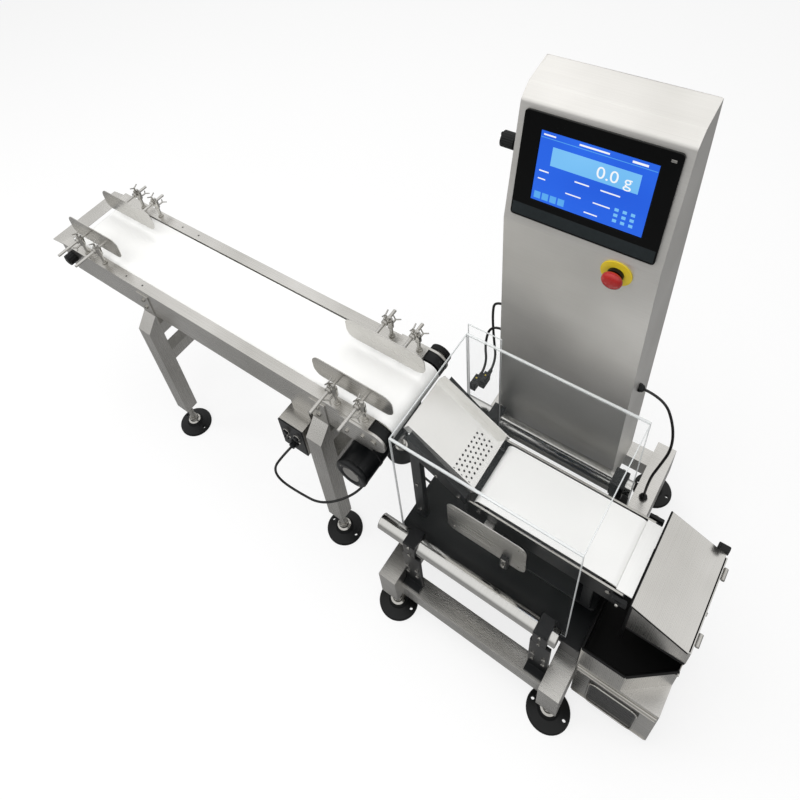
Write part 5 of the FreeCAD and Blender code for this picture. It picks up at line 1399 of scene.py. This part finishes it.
@dataclass
class Leads:
    """All cables of the machine; their points are those of the solids."""

    routes: tuple[Lead, ...] = (
        Lead(
            "sensor_lead_a",
            ((-11, 421, 439), (-11, 461, 439), (-26, 476, 505), (-14, 485, 575), (20, 485, 575)),
            0.203,
        ),
        Lead(
            "sensor_lead_b",
            (
                (13, 421, 469),
                (13, 463, 469),
                (-8, 486, 530),
                (-22, 505, 590),
                (-16, 505, 640),
                (20, 505, 640),
            ),
            0.25,
        ),
        Lead(
            "console_lead",
            (
                (336, 500, 575),
                (380, 500, 575),
                (412, 490, 515),
                (424, 482, 440),
                (412, 478, 360),
                (400, 476, 285),
                (400, 476, 205),
            ),
            0.421,
        ),
        Lead(
            "motor_lead",
            (
                (-294, 38, 410),
                (-298, 4, 408),
                (-318, -14, 362),
                (-312, -12, 306),
                (-262, -2, 278),
                (-208, 10, 262),
                (-152, 60, 280),
                (-118, 100, 340),
                (-118, 100, 412),
            ),
            0.472,
        ),
        Lead(
            "link_lead",
            (
                (-100, 252, 404),
                (-100, 252, 362),
                (-92, 250, 308),
                (-80, 248, 252),
                (-76, 247, 198),
                (-80, 246, 150),
                (-32.5, 246, 150),
            ),
            0.293,
        ),
    )

    def build(self) -> None:
        """Lay every lead on one smooth line."""
        for lead in self.routes:
            self.lay(lead)

    def lay(self, lead: Lead) -> None:
        """Make one lead as a smooth curve that replaces its solid.

        Args:
            lead: name, route, length and diameter.
        """
        curve = bpy.data.curves.new(lead.name + "_jacket", "CURVE")
        curve.dimensions = "3D"
        curve.bevel_depth = lead.diameter_mm * MM / 2
        curve.bevel_resolution = 4
        curve.use_fill_caps = True
        line = curve.splines.new("NURBS")
        line.points.add(len(lead.route) - 1)
        for point, spot in zip(line.points, lead.route):
            point.co = (*(value * MM for value in spot), 1.0)
        line.order_u = 3
        line.use_endpoint_u = True
        line.resolution_u = 12
        made = bpy.data.objects.new(lead.name + "_jacket", curve)
        bpy.context.scene.collection.objects.link(made)
        curve.materials.append(JACKET.material())
        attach(made, Body.MACHINE.value)
        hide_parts(lead.name)
        LOG.info("laid %s, %.3f m", lead.name, lead.length_m)


@dataclass
class Studio:
    """The pale floor, the soft lamps and the camera.

    The floor and the backdrop look white to the camera and through the clear sheets. Gloss
    sees a darker floor, as in a room with its light above, and the lamps leave no glints.
    """

    floor_colour: str = "#8A8A8A"
    lift: float = 0.77
    gloss_lift: float = 0.12
    ambient: float = 0.42

    def build(self) -> None:
        """Set up floor, backdrop, lamps and camera."""
        self.floor()
        self.backdrop()
        self.lamp("overhead_lamp", (-0.5, 0.2, 3.2), (-0.3, 0.25, 0.4), (3.4, 2.4), 62.0)
        self.lamp("front_lamp", (1.2, -3.0, 1.9), (0.1, 0.3, 0.6), (1.6, 1.8), 26.0)
        self.lamp("left_lamp", (-3.2, -1.4, 2.2), (-0.4, 0.2, 0.6), (1.2, 2.0), 24.0)
        self.camera()
        bpy.context.scene.view_settings.view_transform = "Standard"

    def seen(self, tree: bpy.types.NodeTree) -> bpy.types.NodeSocket:
        """Give one for rays from the camera, from gloss and through clear sheets."""
        path = add_node(tree, "ShaderNodeLightPath")
        first = add_node(
            tree,
            "ShaderNodeMath",
            {0: path.outputs["Is Camera Ray"], 1: path.outputs["Is Glossy Ray"]},
            operation="MAXIMUM",
        )
        return add_node(
            tree,
            "ShaderNodeMath",
            {0: first.outputs[0], 1: path.outputs["Is Transmission Ray"]},
            operation="MAXIMUM",
        ).outputs[0]

    def floor(self) -> None:
        """Make the floor, which takes the shadows and looks white to the camera."""
        mesh = bpy.data.meshes.new("studio_floor")
        mesh.from_pydata([(-14, -14, 0), (14, -14, 0), (14, 14, 0), (-14, 14, 0)], [], [(0, 1, 2, 3)])
        made = bpy.data.objects.new("studio_floor", mesh)
        made.location.z = -0.0005
        bpy.context.scene.collection.objects.link(made)
        paint = bpy.data.materials.new("studio_floor_paint")
        paint.use_nodes = True
        tree = paint.node_tree
        tree.nodes.clear()
        matt = add_node(
            tree, "ShaderNodeBsdfDiffuse", {"Color": linear(self.floor_colour), "Roughness": 0.0}
        )
        path = add_node(tree, "ShaderNodeLightPath")
        share = add_node(
            tree,
            "ShaderNodeMath",
            {0: path.outputs["Is Glossy Ray"], 1: self.gloss_lift - self.lift, 2: 0.0},
            operation="MULTIPLY_ADD",
        )
        amount = add_node(
            tree,
            "ShaderNodeMath",
            {0: self.seen(tree), 1: self.lift, 2: share.outputs[0]},
            operation="MULTIPLY_ADD",
        )
        glow = add_node(tree, "ShaderNodeEmission", {"Strength": amount.outputs[0]})
        both = add_node(tree, "ShaderNodeAddShader", {0: matt.outputs[0], 1: glow.outputs[0]})
        add_node(tree, "ShaderNodeOutputMaterial", {"Surface": both.outputs[0]})
        mesh.materials.append(paint)

    def backdrop(self) -> None:
        """Make a backdrop that is white to the camera, and for gloss brighter above than at the horizon."""
        world = bpy.data.worlds.new("studio_backdrop")
        bpy.context.scene.world = world
        world.use_nodes = True
        world.cycles.sampling_method = "NONE"
        tree = world.node_tree
        tree.nodes.clear()
        way = add_node(tree, "ShaderNodeTexCoord").outputs["Generated"]
        height = add_node(tree, "ShaderNodeSeparateXYZ", {0: way}).outputs["Z"]
        tone = add_node(
            tree,
            "ShaderNodeMapRange",
            {"Value": height, "From Min": -0.05, "From Max": 0.5, "To Min": 0.55, "To Max": 1.3},
        ).outputs[0]
        path = add_node(tree, "ShaderNodeLightPath")
        level = add_node(
            tree, "ShaderNodeMix", {0: self.seen(tree), 2: self.ambient, 3: 1.0}, data_type="FLOAT"
        ).outputs[0]
        shown = add_node(tree, "ShaderNodeMath", {0: tone, 1: level}, operation="MULTIPLY").outputs[0]
        strength = add_node(
            tree, "ShaderNodeMix", {0: path.outputs["Is Camera Ray"], 2: shown, 3: 1.0}, data_type="FLOAT"
        ).outputs[0]
        light = add_node(tree, "ShaderNodeBackground", {"Strength": strength})
        add_node(tree, "ShaderNodeOutputWorld", {"Surface": light.outputs[0]})

    def lamp(self, name: str, at: Point, target: Point, size: tuple[float, float], watts: float) -> None:
        """Add a soft rectangular lamp; its places are in metres."""
        light = bpy.data.lights.new(name, "AREA")
        light.shape = "RECTANGLE"
        light.size, light.size_y = size
        light.energy = watts
        made = bpy.data.objects.new(name, light)
        made.visible_glossy = False
        made.location = at
        made.rotation_euler = (Vector(target) - Vector(at)).to_track_quat("-Z", "Y").to_euler()
        bpy.context.scene.collection.objects.link(made)

    def camera(self) -> None:
        """Stand where the photograph was taken from, high on the outlet side."""
        turn, rise, roll = (math.radians(angle) for angle in (44.42, 42.56, -10.3))
        back = Vector(
            (math.sin(turn) * math.cos(rise), -math.cos(turn) * math.cos(rise), math.sin(rise))
        )
        right = (-back).cross(Vector((0, 0, 1))).normalized()
        upward = right.cross(-back)
        tilted_right = right * math.cos(roll) + upward * math.sin(roll)
        tilted_up = -right * math.sin(roll) + upward * math.cos(roll)
        lens = bpy.data.cameras.new("camera")
        lens.sensor_width = 36.0
        lens.lens = 33.507
        lens.shift_x = 0.0786
        lens.shift_y = -0.2429
        lens.clip_end = 60.0
        made = bpy.data.objects.new("camera", lens)
        made.matrix_world = Matrix.Translation((0.5058, -0.4812, 1.9998)) @ Matrix(
            (tilted_right, tilted_up, back)
        ).transposed().to_4x4()
        bpy.context.scene.collection.objects.link(made)
        bpy.context.scene.camera = made


def main() -> None:
    """Build every sub-assembly in order."""
    logging.basicConfig(level=logging.INFO, format="%(message)s")
    Studio().build()
    Leads().build()
    for assembly in (
        InfeedConveyor(),
        SideGuides(),
        Trestles(),
        InfeedDrive(),
        BaseFrame(),
        WeighConveyor(),
        Cover(),
        SlideAndSensors(),
        Console(),
        Display(),
        CollectingBin(),
    ):
        assembly.build()
        LOG.info("built %s", type(assembly).__name__)


if __name__ == "__main__":
    main()
